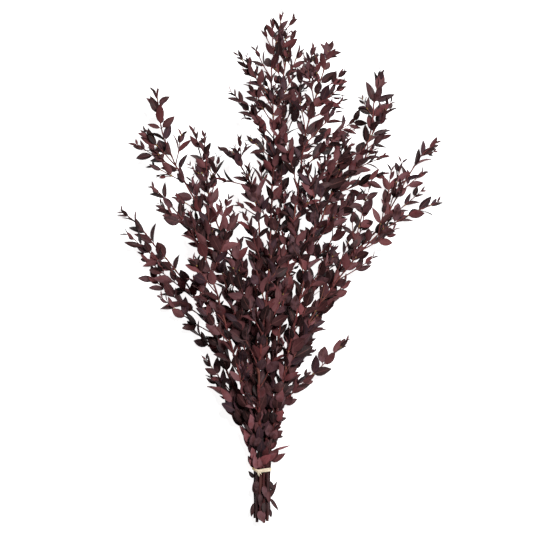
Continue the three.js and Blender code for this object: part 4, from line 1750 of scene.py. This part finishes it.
@dataclass
class Stem:
    """The look of one grown stem: a piece of wood and a piece of leaves."""

    grown: GrownStem
    wood: WoodShape
    off_floor: float = 0.05
    sharpest: float = 60
    cut_face_reach: float = 1.5
    cut_face_turn: float = -0.8

    def build_wood(self) -> bpy.types.Object:
        """The stem, its shoots and its twigs as bevelled curves made into one mesh.

        Returns:
            The piece of wood.
        """
        grown = self.grown
        name = f"{grown.plan.name}_wood"
        curve = bpy.data.curves.new(name, "CURVE")
        curve.dimensions = "3D"
        curve.bevel_depth = MM
        curve.bevel_resolution = 2
        curve.use_fill_caps = True
        for branch in grown.branches:
            shares = self.wood.shares(branch)
            places = self.wood.wavered(branch.line.places(branch.line.step(shares)), grown.number)
            radii = self.wood.radii(branch, shares)
            places[:, 2] = np.maximum(places[:, 2], radii + self.off_floor)
            spline = curve.splines.new("POLY")
            spline.points.add(len(shares) - 1)
            rows = np.column_stack([(places + grown.middle) * MM, np.ones(len(shares))])
            spline.points.foreach_set("co", rows.ravel())
            spline.points.foreach_set("radius", radii)
        piece = bpy.data.objects.new(name, curve)
        bpy.context.collection.objects.link(piece)
        pick_only(piece)
        bpy.ops.object.convert(target="MESH")
        piece = bpy.context.object
        soften(piece, self.sharpest)
        self.mark_cut_face(piece)
        heights = corners_of(piece)[:, 1] / MM - grown.middle[1]
        keep_values(piece, "tone", self.wood.tones(heights, grown.number))
        return piece

    def mark_cut_face(self, piece: bpy.types.Object) -> None:
        """Numbers the face of the cut end for its own material.

        Args:
            piece: The piece of wood.
        """
        cut = Vector((self.grown.line.at(0) + self.grown.middle) * MM)
        for face in piece.data.polygons:
            near = (face.center - cut).length < self.cut_face_reach * MM
            if near and face.normal.y < self.cut_face_turn:
                face.material_index = 1

    def build_leaves(self, pattern: LeafPattern, shape: LeafShape) -> bpy.types.Object:
        """The stem's leaves.

        Args:
            pattern: What each leaf is copied from.
            shape: How the copies are bent.

        Returns:
            The piece of leaves.
        """
        foliage = Foliage(pattern, shape, self.grown.plan.lift)
        for leaf in self.grown.leaves:
            foliage.add(leaf)
        return foliage.piece(f"{self.grown.plan.name}_leaves", self.grown.middle)


# The raffia tie


@dataclass(frozen=True)
class StrandPlan:
    """A flat strand of raffia: angle round the bundle, height, lift off the bundle and width at its points.

    Angles are in degrees, 0 to the right and 90 up. All else is in millimetres. Its last field is the
    painted shade, in a darker gold, that its left side takes, as a share.
    """

    name: str
    route: tuple[tuple[float, float, float, float], ...]
    painted_left_shade: float = 0.35


STRANDS = (
    StrandPlan("band_under", (
        (104, -1.5, 0.35, 2.4), (88, -0.6, 0.3, 3.0), (70, -0.1, 0.3, 3.2), (45, 0.5, 0.3, 3.0),
        (0, 1.2, 0.3, 2.6), (-60, 0.6, 0.3, 2.6), (-120, 0.6, 0.3, 2.6), (-180, 2.0, 0.3, 2.2),
        (-215, 1.2, 0.3, 2.0), (-238, -0.2, 0.3, 2.0), (-256, -1.5, 0.35, 2.4),
    )),
    StrandPlan("band_lower", (
        (106, -2.4, 0.75, 2.2), (88, -1.6, 0.7, 2.6), (70, -1.1, 0.7, 2.8), (45, -0.6, 0.7, 2.6),
        (0, 0.0, 0.6, 2.2), (-60, -0.6, 0.5, 2.2), (-120, -0.4, 0.5, 2.2), (-180, 1.2, 0.6, 1.8),
        (-215, 0.2, 0.7, 1.7), (-238, -1.2, 0.75, 1.7), (-254, -2.3, 0.8, 2.0),
    )),
    StrandPlan("band_upper", (
        (103, -0.6, 0.8, 2.2), (86, 0.5, 0.8, 2.6), (70, 1.0, 0.8, 2.8), (45, 1.6, 0.75, 2.6),
        (0, 2.2, 0.6, 2.0), (-60, 1.6, 0.5, 2.2), (-120, 1.6, 0.5, 2.2), (-180, 2.7, 0.6, 1.8),
        (-215, 2.1, 0.8, 1.7), (-238, 0.6, 0.85, 1.7), (-256, -1.0, 0.9, 2.0),
    )),
    StrandPlan("shaded_turn", (
        (100, -1.8, 1.1, 1.6), (118, -0.2, 1.15, 1.8), (140, 1.8, 1.1, 1.9), (165, 3.2, 1.0, 1.7),
        (185, 3.4, 0.9, 1.6), (225, 2.4, 0.7, 1.5), (262, 1.2, 0.45, 1.6),
    ), painted_left_shade=1.0),
    StrandPlan("knot_across", (
        (110, 0.9, 0.4, 2.0), (108, -0.2, 1.5, 2.6), (106, -1.4, 2.3, 3.0), (104, -2.6, 2.1, 2.8),
        (102, -3.4, 1.3, 2.4), (101, -3.5, 0.4, 1.8),
    )),
    StrandPlan("knot_turn", (
        (120, -0.9, 0.9, 1.8), (112, -1.6, 2.2, 2.4), (104, -1.5, 2.9, 2.8), (96, -0.9, 2.0, 2.4),
        (89, -0.5, 0.9, 1.8),
    )),
    StrandPlan("tail_long", (
        (105, -2.0, 2.2, 2.4), (104, -3.6, 2.2, 2.6), (103, -5.4, 1.7, 2.2), (102, -7.0, 1.1, 1.4),
        (101, -8.6, 0.6, 0.4),
    )),
    StrandPlan("tail_short", (
        (100, -1.8, 2.4, 1.8), (97, -3.2, 2.2, 1.8), (94, -4.4, 1.6, 1.4), (91, -5.6, 0.9, 0.5),
    )),
)


@dataclass
class RaffiaTie:
    """The tie: flat strands wound round the bundle, knotted over it, with two cut tails.

    Each strand takes painted shade, in a darker gold, between the second and the third of four angles round
    the bundle, on its left side away from the lamp, and the shade fades to cream at the first and the last.
    """

    middle: Array
    inner_wide: float = 12.8
    inner_high: float = 9.1
    squareness: float = 2.6
    bundle_height: float = 10
    thickness: float = 0.3
    cup: float = 0.12
    run: float = 1.1
    fewest_runs: int = 6
    strips: int = 4
    lowest: float = 0.22
    measuring_points: int = 200
    share_step: float = 0.004
    degree_step: float = 1
    sharpest: float = 55
    painted_shade_gold: tuple[float, float, float, float] = (112, 138, 240, 300)

    def outline(self, degrees: Array, lift: Array) -> Array:
        """Points round the bundle.

        Args:
            degrees: The angle of each point.
            lift: How far each point is off the bundle.

        Returns:
            A row of x and z for each point.
        """
        angle = np.radians(degrees)
        power = 2 / self.squareness
        cosine, sine = np.cos(angle), np.sin(angle)
        x = (self.inner_wide + lift) * np.sign(cosine) * np.abs(cosine) ** power
        z = self.bundle_height + (self.inner_high + lift) * np.sign(sine) * np.abs(sine) ** power
        return np.column_stack([x, np.maximum(z, self.lowest)])

    def centres(self, route: SmoothLine, shares: Array) -> Array:
        """The middle line of a strand.

        Args:
            route: Its angles, heights, lifts and widths.
            shares: Where along it.

        Returns:
            A row for each point.
        """
        angle, height, lift, _ = route.places(np.clip(shares, 0, 1)).T
        ring = self.outline(angle, lift)
        return np.column_stack([ring[:, 0], height, ring[:, 1]])

    def wound(self, route: SmoothLine, grid: Array) -> Array:
        """Winds a flat grid round the bundle, cupped a little across its width.

        Args:
            route: The strand's angles, heights, lifts and widths.
            grid: The corners of the grid.

        Returns:
            The places of the corners, in millimetres.
        """
        shares, side = grid[:, 0], grid[:, 1]
        angle, _, lift, width = route.places(np.clip(shares, 0, 1)).T
        nudge, turn = self.share_step, self.degree_step
        along = unit_rows(self.centres(route, shares + nudge) - self.centres(route, shares - nudge))
        forward = self.outline(angle + turn, lift) - self.outline(angle - turn, lift)
        outward = unit_rows(np.column_stack([forward[:, 1], np.zeros(len(angle)), -forward[:, 0]]))
        across = unit_rows(np.cross(outward, along))
        places = self.centres(route, shares) + across * (side * width)[:, None]
        places -= outward * (self.cup * width * (2 * side) ** 2)[:, None]
        places[:, 2] = np.maximum(places[:, 2], self.lowest)
        return places

    def build_strand(self, plan: StrandPlan) -> bpy.types.Object:
        """One strand: a grid laid along its route and given its thickness.

        Args:
            plan: The strand's plan.

        Returns:
            The strand.
        """
        route = SmoothLine([np.array(point, float) for point in plan.route])
        centres = self.centres(route, np.linspace(0, 1, self.measuring_points))
        length = float(np.linalg.norm(np.diff(centres, axis=0), axis=1).sum())
        runs = max(self.fewest_runs, round(length / self.run))
        strand = add_grid(f"tie_{plan.name}", runs, self.strips)
        grid = corners_of(strand)
        places = self.wound(route, grid)
        strand.data.vertices.foreach_set("co", ((places + self.middle) * MM).ravel())
        angle = route.places(np.clip(grid[:, 0], 0, 1))[:, 0]
        # Painted shade: a darker gold on the bundle's left side, away from the lamp.
        keep_values(strand, "painted_left_shade", plan.painted_left_shade * np.interp(angle % 360, self.painted_shade_gold, (0, 1, 1, 0)))
        body = strand.modifiers.new("Body", "SOLIDIFY")
        body.thickness = self.thickness * MM
        body.offset = 0
        apply_modifier(strand, body)
        return strand

    def build(self) -> bpy.types.Object:
        """The whole tie as one piece.

        Returns:
            The piece.
        """
        strands = [self.build_strand(plan) for plan in STRANDS]
        deselect()
        for strand in strands:
            strand.select_set(True)
        bpy.context.view_layer.objects.active = strands[0]
        bpy.ops.object.join()
        tie = bpy.context.object
        tie.name = "tie_raffia"
        soften(tie, self.sharpest)
        return tie


# Finishes


Colour = tuple[float, float, float]
Stretch = tuple[float, float, float]


def channel(shown: int) -> float:
    """One part of a colour as Blender counts it, from the 0 to 255 that a screen shows."""
    share = shown / 255
    return share / 12.92 if share <= 0.04045 else ((share + 0.055) / 1.055) ** 2.4


def linear(red: int, green: int, blue: int) -> Colour:
    """A colour as Blender counts it, from the 0 to 255 that a screen shows."""
    return channel(red), channel(green), channel(blue)


class Sheet:
    """The nodes of one material, added a node at a time."""

    def __init__(self, name: str) -> None:
        """Starts with the surface shader alone.

        Args:
            name: The material's name.
        """
        self.material = bpy.data.materials.new(name)
        self.material.use_nodes = True
        self.tree = self.material.node_tree
        self.surface = self.tree.nodes["Principled BSDF"]

    def add(self, kind: str, **inputs: object) -> bpy.types.Node:
        """Adds a node and fills or links its inputs.

        Args:
            kind: The node's type.
            inputs: Values or sockets by the inputs' names, with _ for a space.

        Returns:
            The node.
        """
        node = self.tree.nodes.new(kind)
        for name, value in inputs.items():
            self.fill(node.inputs[name.replace("_", " ")], value)
        return node

    def fill(self, socket: Socket, value: object) -> None:
        """Links a socket to another, or sets its value.

        Args:
            socket: The socket.
            value: What it is linked or set to.
        """
        if isinstance(value, Socket):
            self.tree.links.new(value, socket)
        elif isinstance(value, tuple) and len(value) == 3 and socket.type == "RGBA":
            socket.default_value = (*value, 1)
        else:
            socket.default_value = value

    def attribute(self, name: str) -> Socket:
        """The numbers that are kept with a mesh.

        Args:
            name: Their name.

        Returns:
            The number at each place.
        """
        node = self.add("ShaderNodeAttribute")
        node.attribute_name = name
        return node.outputs["Fac"]

    def math(self, operation: str, *values: object) -> Socket:
        """Works out a sum.

        Args:
            operation: Its kind.
            values: What it is worked out on.

        Returns:
            The result.
        """
        node = self.add("ShaderNodeMath")
        node.operation = operation
        for socket, value in zip(node.inputs, values):
            self.fill(socket, value)
        return node.outputs[0]

    def times(self, first: object, second: object) -> Socket:
        """One value times another."""
        return self.math("MULTIPLY", first, second)

    def plus(self, first: object, second: object) -> Socket:
        """One value and another together."""
        return self.math("ADD", first, second)

    def minus(self, first: object, second: object) -> Socket:
        """One value less another."""
        return self.math("SUBTRACT", first, second)

    def faded(self, value: object, low: float, high: float, start: float = 0, end: float = 1) -> Socket:
        """A value turned smoothly from one range into another.

        Args:
            value: The value.
            low: Where the first range starts.
            high: Where it ends.
            start: The result at low.
            end: The result at high.

        Returns:
            The result.
        """
        node = self.add("ShaderNodeMapRange")
        node.interpolation_type = "SMOOTHSTEP"
        for socket, given in zip(node.inputs, (value, low, high, start, end)):
            self.fill(socket, given)
        return node.outputs[0]

    def mixed(self, share: object, first: object, second: object) -> Socket:
        """A colour between two.

        Args:
            share: How much of the second there is.
            first: The first.
            second: The second.

        Returns:
            The colour.
        """
        node = self.add("ShaderNodeMix")
        node.data_type = "RGBA"
        for name, value in (("Factor_Float", share), ("A_Color", first), ("B_Color", second)):
            self.fill(next(s for s in node.inputs if s.identifier == name), value)
        return next(s for s in node.outputs if s.identifier == "Result_Color")

    def ramp(self, share: object, stops: Sequence[tuple[float, Colour]]) -> Socket:
        """A colour from a row of them.

        Args:
            share: Where on the row.
            stops: Places from 0 to 1 with their colours.

        Returns:
            The colour.
        """
        node = self.add("ShaderNodeValToRGB", Fac=share)
        elements = node.color_ramp.elements
        while len(elements) < len(stops):
            elements.new(0.5)
        for element, (place, colour) in zip(elements, stops):
            element.position = place
            element.color = (*colour, 1)
        return node.outputs["Color"]

    def noise(self, scale: float, detail: float, stretch: Stretch = (1, 1, 1)) -> Socket:
        """Noise on the object's own coordinates.

        Args:
            scale: How fine it is, in spots a metre.
            detail: How many finer layers it has.
            stretch: How much finer it is along each axis.

        Returns:
            The noise, from 0 to 1.
        """
        place = self.add("ShaderNodeTexCoord").outputs["Object"]
        mapped = self.add("ShaderNodeMapping", Vector=place, Scale=stretch).outputs[0]
        return self.add("ShaderNodeTexNoise", Vector=mapped, Scale=scale, Detail=detail).outputs["Fac"]

    def scaled(self, colour: object, factor: object) -> Socket:
        """A colour made lighter or darker.

        Args:
            colour: The colour.
            factor: By how much.

        Returns:
            The new colour.
        """
        node = self.add("ShaderNodeVectorMath")
        node.operation = "SCALE"
        self.fill(node.inputs[0], colour)
        self.fill(node.inputs["Scale"], factor)
        return node.outputs[0]

    def bumped(self, height: object, strength: float, distance: float) -> None:
        """Gives the surface fine relief.

        Args:
            height: The relief's height, from 0 to 1.
            strength: How strong it is.
            distance: How deep it is, in metres.
        """
        bump = self.add("ShaderNodeBump", Height=height, Strength=strength, Distance=distance)
        self.fill(self.surface.inputs["Normal"], bump.outputs[0])

    def finish(self, colour: object, roughness: object, **settings: float) -> bpy.types.Material:
        """Finishes the surface.

        Args:
            colour: Its colour.
            roughness: How rough it is.
            settings: What is the same all over it, by the inputs' names, with _ for a space.

        Returns:
            The material.
        """
        self.fill(self.surface.inputs["Base Color"], colour)
        self.fill(self.surface.inputs["Roughness"], roughness)
        for name, value in settings.items():
            self.fill(self.surface.inputs[name.replace("_", " ")], value)
        return self.material


@dataclass(frozen=True)
class DyedLeaf:
    """The finish of the leaves: matte burgundy dye, darker and redder by turns, with a pale bloom.

    It has painted shade towards the blade's edge, and painted light and shade from each leaf's lift.

    Mottle and grain are in spots a metre. The gap between veins and a vein's reach to each side are shares
    of the blade's length, and its slant is how far it runs towards the tip on its way to the edge.
    """

    tones: tuple[tuple[float, Colour], ...] = (
        (0.0, linear(23, 10, 10)),
        (0.35, linear(51, 27, 28)),
        (0.7, linear(84, 46, 48)),
        (1.0, linear(117, 70, 73)),
    )
    red: Colour = linear(114, 54, 57)
    plum: Colour = linear(62, 43, 53)
    bud: Colour = linear(164, 138, 80)
    bloom: Colour = linear(120, 87, 94)
    rib: Colour = linear(112, 70, 66)
    shadow: Colour = linear(26, 12, 13)
    roughness: tuple[float, float] = (0.55, 0.8)
    sheen: float = 0.25
    mottle: float = 140
    grain: float = 1100
    most_mottled: float = 0.5
    most_reddened: float = 0.7
    most_plum: float = 0.75
    most_bloomed: float = 0.6
    most_shadowed: float = 0.45
    ribbed: float = 0.5
    veined: float = 0.35
    vein_gap: float = 0.11
    vein_reach: float = 0.012
    vein_slant: float = 0.22
    grain_shades: tuple[float, float] = (0.84, 1.14)
    relief: float = 0.35
    relief_depth: float = 0.0002

    def dye(self, sheet: Sheet, mottle: Socket) -> Socket:
        """The dye, darker, redder or purpler from leaf to leaf, with the bloom on some of them.

        Args:
            sheet: The nodes.
            mottle: Where a leaf is darker or lighter.

        Returns:
            The colour.
        """
        mottled = sheet.times(sheet.minus(mottle, 0.5), self.most_mottled)
        colour = sheet.ramp(sheet.plus(sheet.attribute("tone"), mottled), self.tones)
        reddened = sheet.faded(sheet.attribute("red"), 0.72, 1.0, 0.0, self.most_reddened)
        colour = sheet.mixed(reddened, colour, self.red)
        purpled = sheet.faded(sheet.attribute("red"), 0.0, 0.2, self.most_plum, 0.0)
        colour = sheet.mixed(purpled, colour, self.plum)
        bloomed = sheet.faded(sheet.attribute("dust"), 0.45, 1.0)
        bloomed = sheet.times(bloomed, sheet.faded(mottle, 0.35, 0.7))
        return sheet.mixed(sheet.times(bloomed, self.most_bloomed), colour, self.bloom)

    def lines(self, sheet: Sheet, along: Socket, across: Socket) -> Socket:
        """The rib, which fades towards the tip, and the side veins, which fade towards the edge.

        Args:
            sheet: The nodes.
            along: How far along the blade a place is, from 0 to 1.
            across: How far from the rib it is, from 0 to 1.

        Returns:
            How much of a line there is, from 0 to 1.
        """
        rib = sheet.faded(across, 0.04, 0.12, 1.0, 0.0)
        rib = sheet.times(rib, sheet.faded(along, 0.6, 1.0, 1.0, 0.2))
        slanted = sheet.minus(along, sheet.times(across, self.vein_slant))
        from_vein = sheet.math("PINGPONG", slanted, self.vein_gap / 2)
        veins = sheet.faded(from_vein, 0.0, self.vein_reach, 1.0, 0.0)
        veins = sheet.times(veins, sheet.faded(across, 0.75, 0.95, 1.0, 0.0))
        return sheet.math("MAXIMUM", rib, sheet.times(veins, self.veined))

    def material(self) -> bpy.types.Material:
        """The finish as a material.

        Returns:
            The material.
        """
        sheet = Sheet("dyed_leaf")
        split = sheet.add("ShaderNodeSeparateXYZ", Vector=sheet.add("ShaderNodeUVMap").outputs[0])
        along, side = split.outputs[0], split.outputs[1]
        across = sheet.times(sheet.math("ABSOLUTE", sheet.minus(side, 0.5)), 2.0)
        mottle = sheet.noise(self.mottle, detail=4)
        grain = sheet.noise(self.grain, detail=2)
        lines = self.lines(sheet, along, across)
        colour = self.dye(sheet, mottle)
        # Painted shade: the blade darkens towards its edge.
        shadowed = sheet.faded(across, 0.8, 1.0, 0.0, self.most_shadowed)
        colour = sheet.mixed(shadowed, colour, self.shadow)
        colour = sheet.mixed(sheet.times(lines, self.ribbed), colour, self.rib)
        colour = sheet.mixed(sheet.attribute("bud"), colour, self.bud)
        colour = sheet.scaled(colour, sheet.faded(grain, 0.25, 0.75, *self.grain_shades))
        # Painted light and shade: each leaf's lift makes it lighter or darker for how the lamp falls on it.
        colour = sheet.scaled(colour, sheet.plus(sheet.attribute("lift"), 1.0))
        relief = sheet.plus(sheet.times(lines, 0.6), sheet.times(grain, 0.4))
        sheet.bumped(relief, self.relief, self.relief_depth)
        roughness = sheet.faded(mottle, 0.3, 0.7, *self.roughness)
        return sheet.finish(colour, roughness, Specular_IOR_Level=self.sheen)


@dataclass(frozen=True)
class StemBark:
    """The finish of stems and shoots: reddish brown bark with fine streaks along it.

    Streaks, patches and grain are in spots a metre.
    """

    bark: Colour = linear(116, 56, 55)
    dark: Colour = linear(45, 22, 24)
    streak: Colour = linear(44, 21, 23)
    worn: Colour = linear(126, 80, 67)
    cut: Colour = linear(168, 128, 98)
    pith: Colour = linear(96, 60, 44)
    streaks: float = 700
    streak_stretch: Stretch = (1, 0.06, 1)
    patches: float = 90
    patch_stretch: Stretch = (1, 0.4, 1)
    grain: float = 1500
    most_streaked: float = 0.8
    most_worn: tuple[float, float] = (0.15, 0.7)
    relief: float = 0.5
    relief_depth: float = 0.0003
    cut_relief: float = 0.4
    cut_relief_depth: float = 0.0002
    roughness: float = 0.62
    cut_roughness: float = 0.8
    sheen: float = 0.25

    def material(self) -> bpy.types.Material:
        """The bark as a material.

        Returns:
            The material.
        """
        sheet = Sheet("stem_bark")
        streaks = sheet.noise(self.streaks, 4, self.streak_stretch)
        patches = sheet.noise(self.patches, 2, self.patch_stretch)
        tone = sheet.attribute("tone")
        colour = sheet.mixed(sheet.faded(tone, 0.2, 0.7), self.dark, self.bark)
        streaked = sheet.faded(streaks, 0.4, 0.62, 0.0, self.most_streaked)
        colour = sheet.mixed(streaked, colour, self.streak)
        worn = sheet.times(sheet.faded(patches, 0.5, 0.7), sheet.faded(tone, 0.55, 1.0, *self.most_worn))
        colour = sheet.mixed(worn, colour, self.worn)
        sheet.bumped(streaks, self.relief, self.relief_depth)
        return sheet.finish(colour, self.roughness, Specular_IOR_Level=self.sheen)

    def cut_material(self) -> bpy.types.Material:
        """The pale wood of a cut end.

        Returns:
            The material.
        """
        sheet = Sheet("cut_wood")
        grain = sheet.noise(self.grain, detail=4)
        colour = sheet.mixed(sheet.faded(grain, 0.35, 0.7), self.cut, self.pith)
        sheet.bumped(grain, self.cut_relief, self.cut_relief_depth)
        return sheet.finish(colour, self.cut_roughness)


@dataclass(frozen=True)
class DryRaffia:
    """The finish of the tie: cream raffia with fibres along it, with painted shade in darker gold on its
    left.

    The fibres' stretch is on a strand's own map. The blots are in spots a metre.
    """

    cream: Colour = linear(246, 233, 208)
    fibre: Colour = linear(208, 180, 138)
    painted_shade_gold: Colour = linear(170, 128, 48)
    fibre_stretch: Stretch = (5, 26, 1)
    blots: float = 420
    most_blotted: float = 0.5
    most_painted_shade: float = 0.85
    relief: float = 0.6
    relief_depth: float = 0.0003
    roughness: float = 0.72

    def material(self) -> bpy.types.Material:
        """The finish as a material.

        Returns:
            The material.
        """
        sheet = Sheet("dry_raffia")
        place = sheet.add("ShaderNodeUVMap").outputs[0]
        mapped = sheet.add("ShaderNodeMapping", Vector=place, Scale=self.fibre_stretch).outputs[0]
        fibres = sheet.add("ShaderNodeTexNoise", Vector=mapped, Scale=1.0, Detail=4.0).outputs["Fac"]
        blots = sheet.noise(self.blots, detail=2)
        colour = sheet.mixed(sheet.faded(fibres, 0.46, 0.66), self.cream, self.fibre)
        blotted = sheet.faded(blots, 0.58, 0.75, 0.0, self.most_blotted)
        colour = sheet.mixed(blotted, colour, self.fibre)
        # Painted shade: a darker gold where a strand lies on the bundle's left side.
        colour = sheet.mixed(sheet.times(sheet.attribute("painted_left_shade"), self.most_painted_shade), colour, self.painted_shade_gold)
        sheet.bumped(fibres, self.relief, self.relief_depth)
        return sheet.finish(colour, self.roughness)


# The studio


@dataclass(frozen=True)
class Studio:
    """The pale floor, the soft light and the camera, which looks straight down.

    The middle of what the camera sees is in millimetres from the middle of the tie. All else is in metres.
    """

    middle: Array
    floor_size: float = 30.0
    floor_colour: Colour = (0.92, 0.92, 0.92)
    floor_glow: float = 0.92
    floor_roughness: float = 0.9
    sky: float = 0.035
    key_place: tuple[float, float, float] = (0.85, 0.9, 2.4)
    key_size: float = 0.8
    key_power: float = 84.0
    seen_wide: float = 0.722
    seen_height: float = 0.035
    camera_height: float = 4.0
    camera_reach: float = 50.0
    seen_middle: tuple[float, float] = (6.1, 276.9)

    def build_floor(self) -> None:
        """The floor, which isn't part of the bunch."""
        deselect()
        bpy.ops.mesh.primitive_plane_add(size=self.floor_size, location=(0, 0, 0))
        floor = bpy.context.object
        floor.name = "studio_floor"
        sheet = Sheet("pale_floor")
        glow = {"Emission_Color": (1, 1, 1), "Emission_Strength": self.floor_glow}
        floor.data.materials.append(sheet.finish(self.floor_colour, self.floor_roughness, **glow))
        floor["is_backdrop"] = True

    def build_light(self) -> None:
        """An even pale sky and one large soft lamp."""
        world = bpy.data.worlds.new("studio_sky")
        world.use_nodes = True
        background = world.node_tree.nodes["Background"]
        background.inputs["Color"].default_value = (1, 1, 1, 1)
        background.inputs["Strength"].default_value = self.sky
        bpy.context.scene.world = world
        lamp = bpy.data.lights.new("soft_key", "AREA")
        lamp.shape = "DISK"
        lamp.size = self.key_size
        lamp.energy = self.key_power
        key = bpy.data.objects.new("soft_key", lamp)
        key.location = self.key_place
        key.rotation_mode = "QUATERNION"
        key.rotation_quaternion = (-Vector(self.key_place)).to_track_quat("-Z", "Y")
        bpy.context.collection.objects.link(key)

    def build_camera(self) -> None:
        """The camera over the bunch."""
        lens = bpy.data.cameras.new("overhead_camera")
        distance = self.camera_height - self.seen_height
        lens.lens = lens.sensor_width * distance / self.seen_wide
        lens.clip_end = self.camera_reach
        camera = bpy.data.objects.new("overhead_camera", lens)
        x, y = (self.middle[:2] + self.seen_middle) * MM
        camera.location = (x, y, self.camera_height)
        bpy.context.collection.objects.link(camera)
        bpy.context.scene.camera = camera

    def build(self) -> None:
        """All of the studio."""
        self.build_floor()
        self.build_light()
        self.build_camera()
        bpy.context.scene.view_settings.view_transform = "Standard"


def write_sizes(packed: tuple[Vector, Vector]) -> None:
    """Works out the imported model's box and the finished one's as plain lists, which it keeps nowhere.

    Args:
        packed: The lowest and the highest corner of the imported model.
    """
    boxes = {"cad": packed, "visual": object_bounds()}
    plain = {name: [list(corner) for corner in box] for name, box in boxes.items()}


def tie_middle() -> Array:
    """The middle of the tie's band, at the floor.

    Returns:
        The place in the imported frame, in millimetres.
    """
    half_band = 2.5
    low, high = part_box("raffia_tie")
    return np.array([(low.x + high.x) / 2 / MM, high.y / MM - half_band, 0.0])


def main() -> None:
    """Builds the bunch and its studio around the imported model."""
    logging.basicConfig(level=logging.INFO, format="%(name)s: %(message)s", force=True)
    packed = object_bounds()
    middle = tie_middle()
    crowd = Crowd()
    grown = [GrownStem(plan, number, middle, crowd) for number, plan in enumerate(STEMS)]
    open_places = [stem.grow_carried() for stem in grown]
    for stem, places in zip(grown, open_places):
        stem.grow_others(places)
    for stem, places in zip(grown, open_places):
        stem.grow_twigs(places)
    log.info("%d leaves", sum(len(stem.leaves) for stem in grown))

    pattern, shape, wood = LeafPattern(), LeafShape(), WoodShape()
    leaf_finish, bark = DyedLeaf().material(), StemBark()
    bark_finishes = [bark.material(), bark.cut_material()]
    for one in grown:
        stem = Stem(one, wood)
        name = one.plan.name
        add_to_bunch(stem.build_wood(), name, bark_finishes)
        add_to_bunch(stem.build_leaves(pattern, shape), name, [leaf_finish])
    add_to_bunch(RaffiaTie(middle).build(), "raffia_tie", [DryRaffia().material()])
    Studio(middle).build()
    write_sizes(packed)


if __name__ == "__main__":
    main()
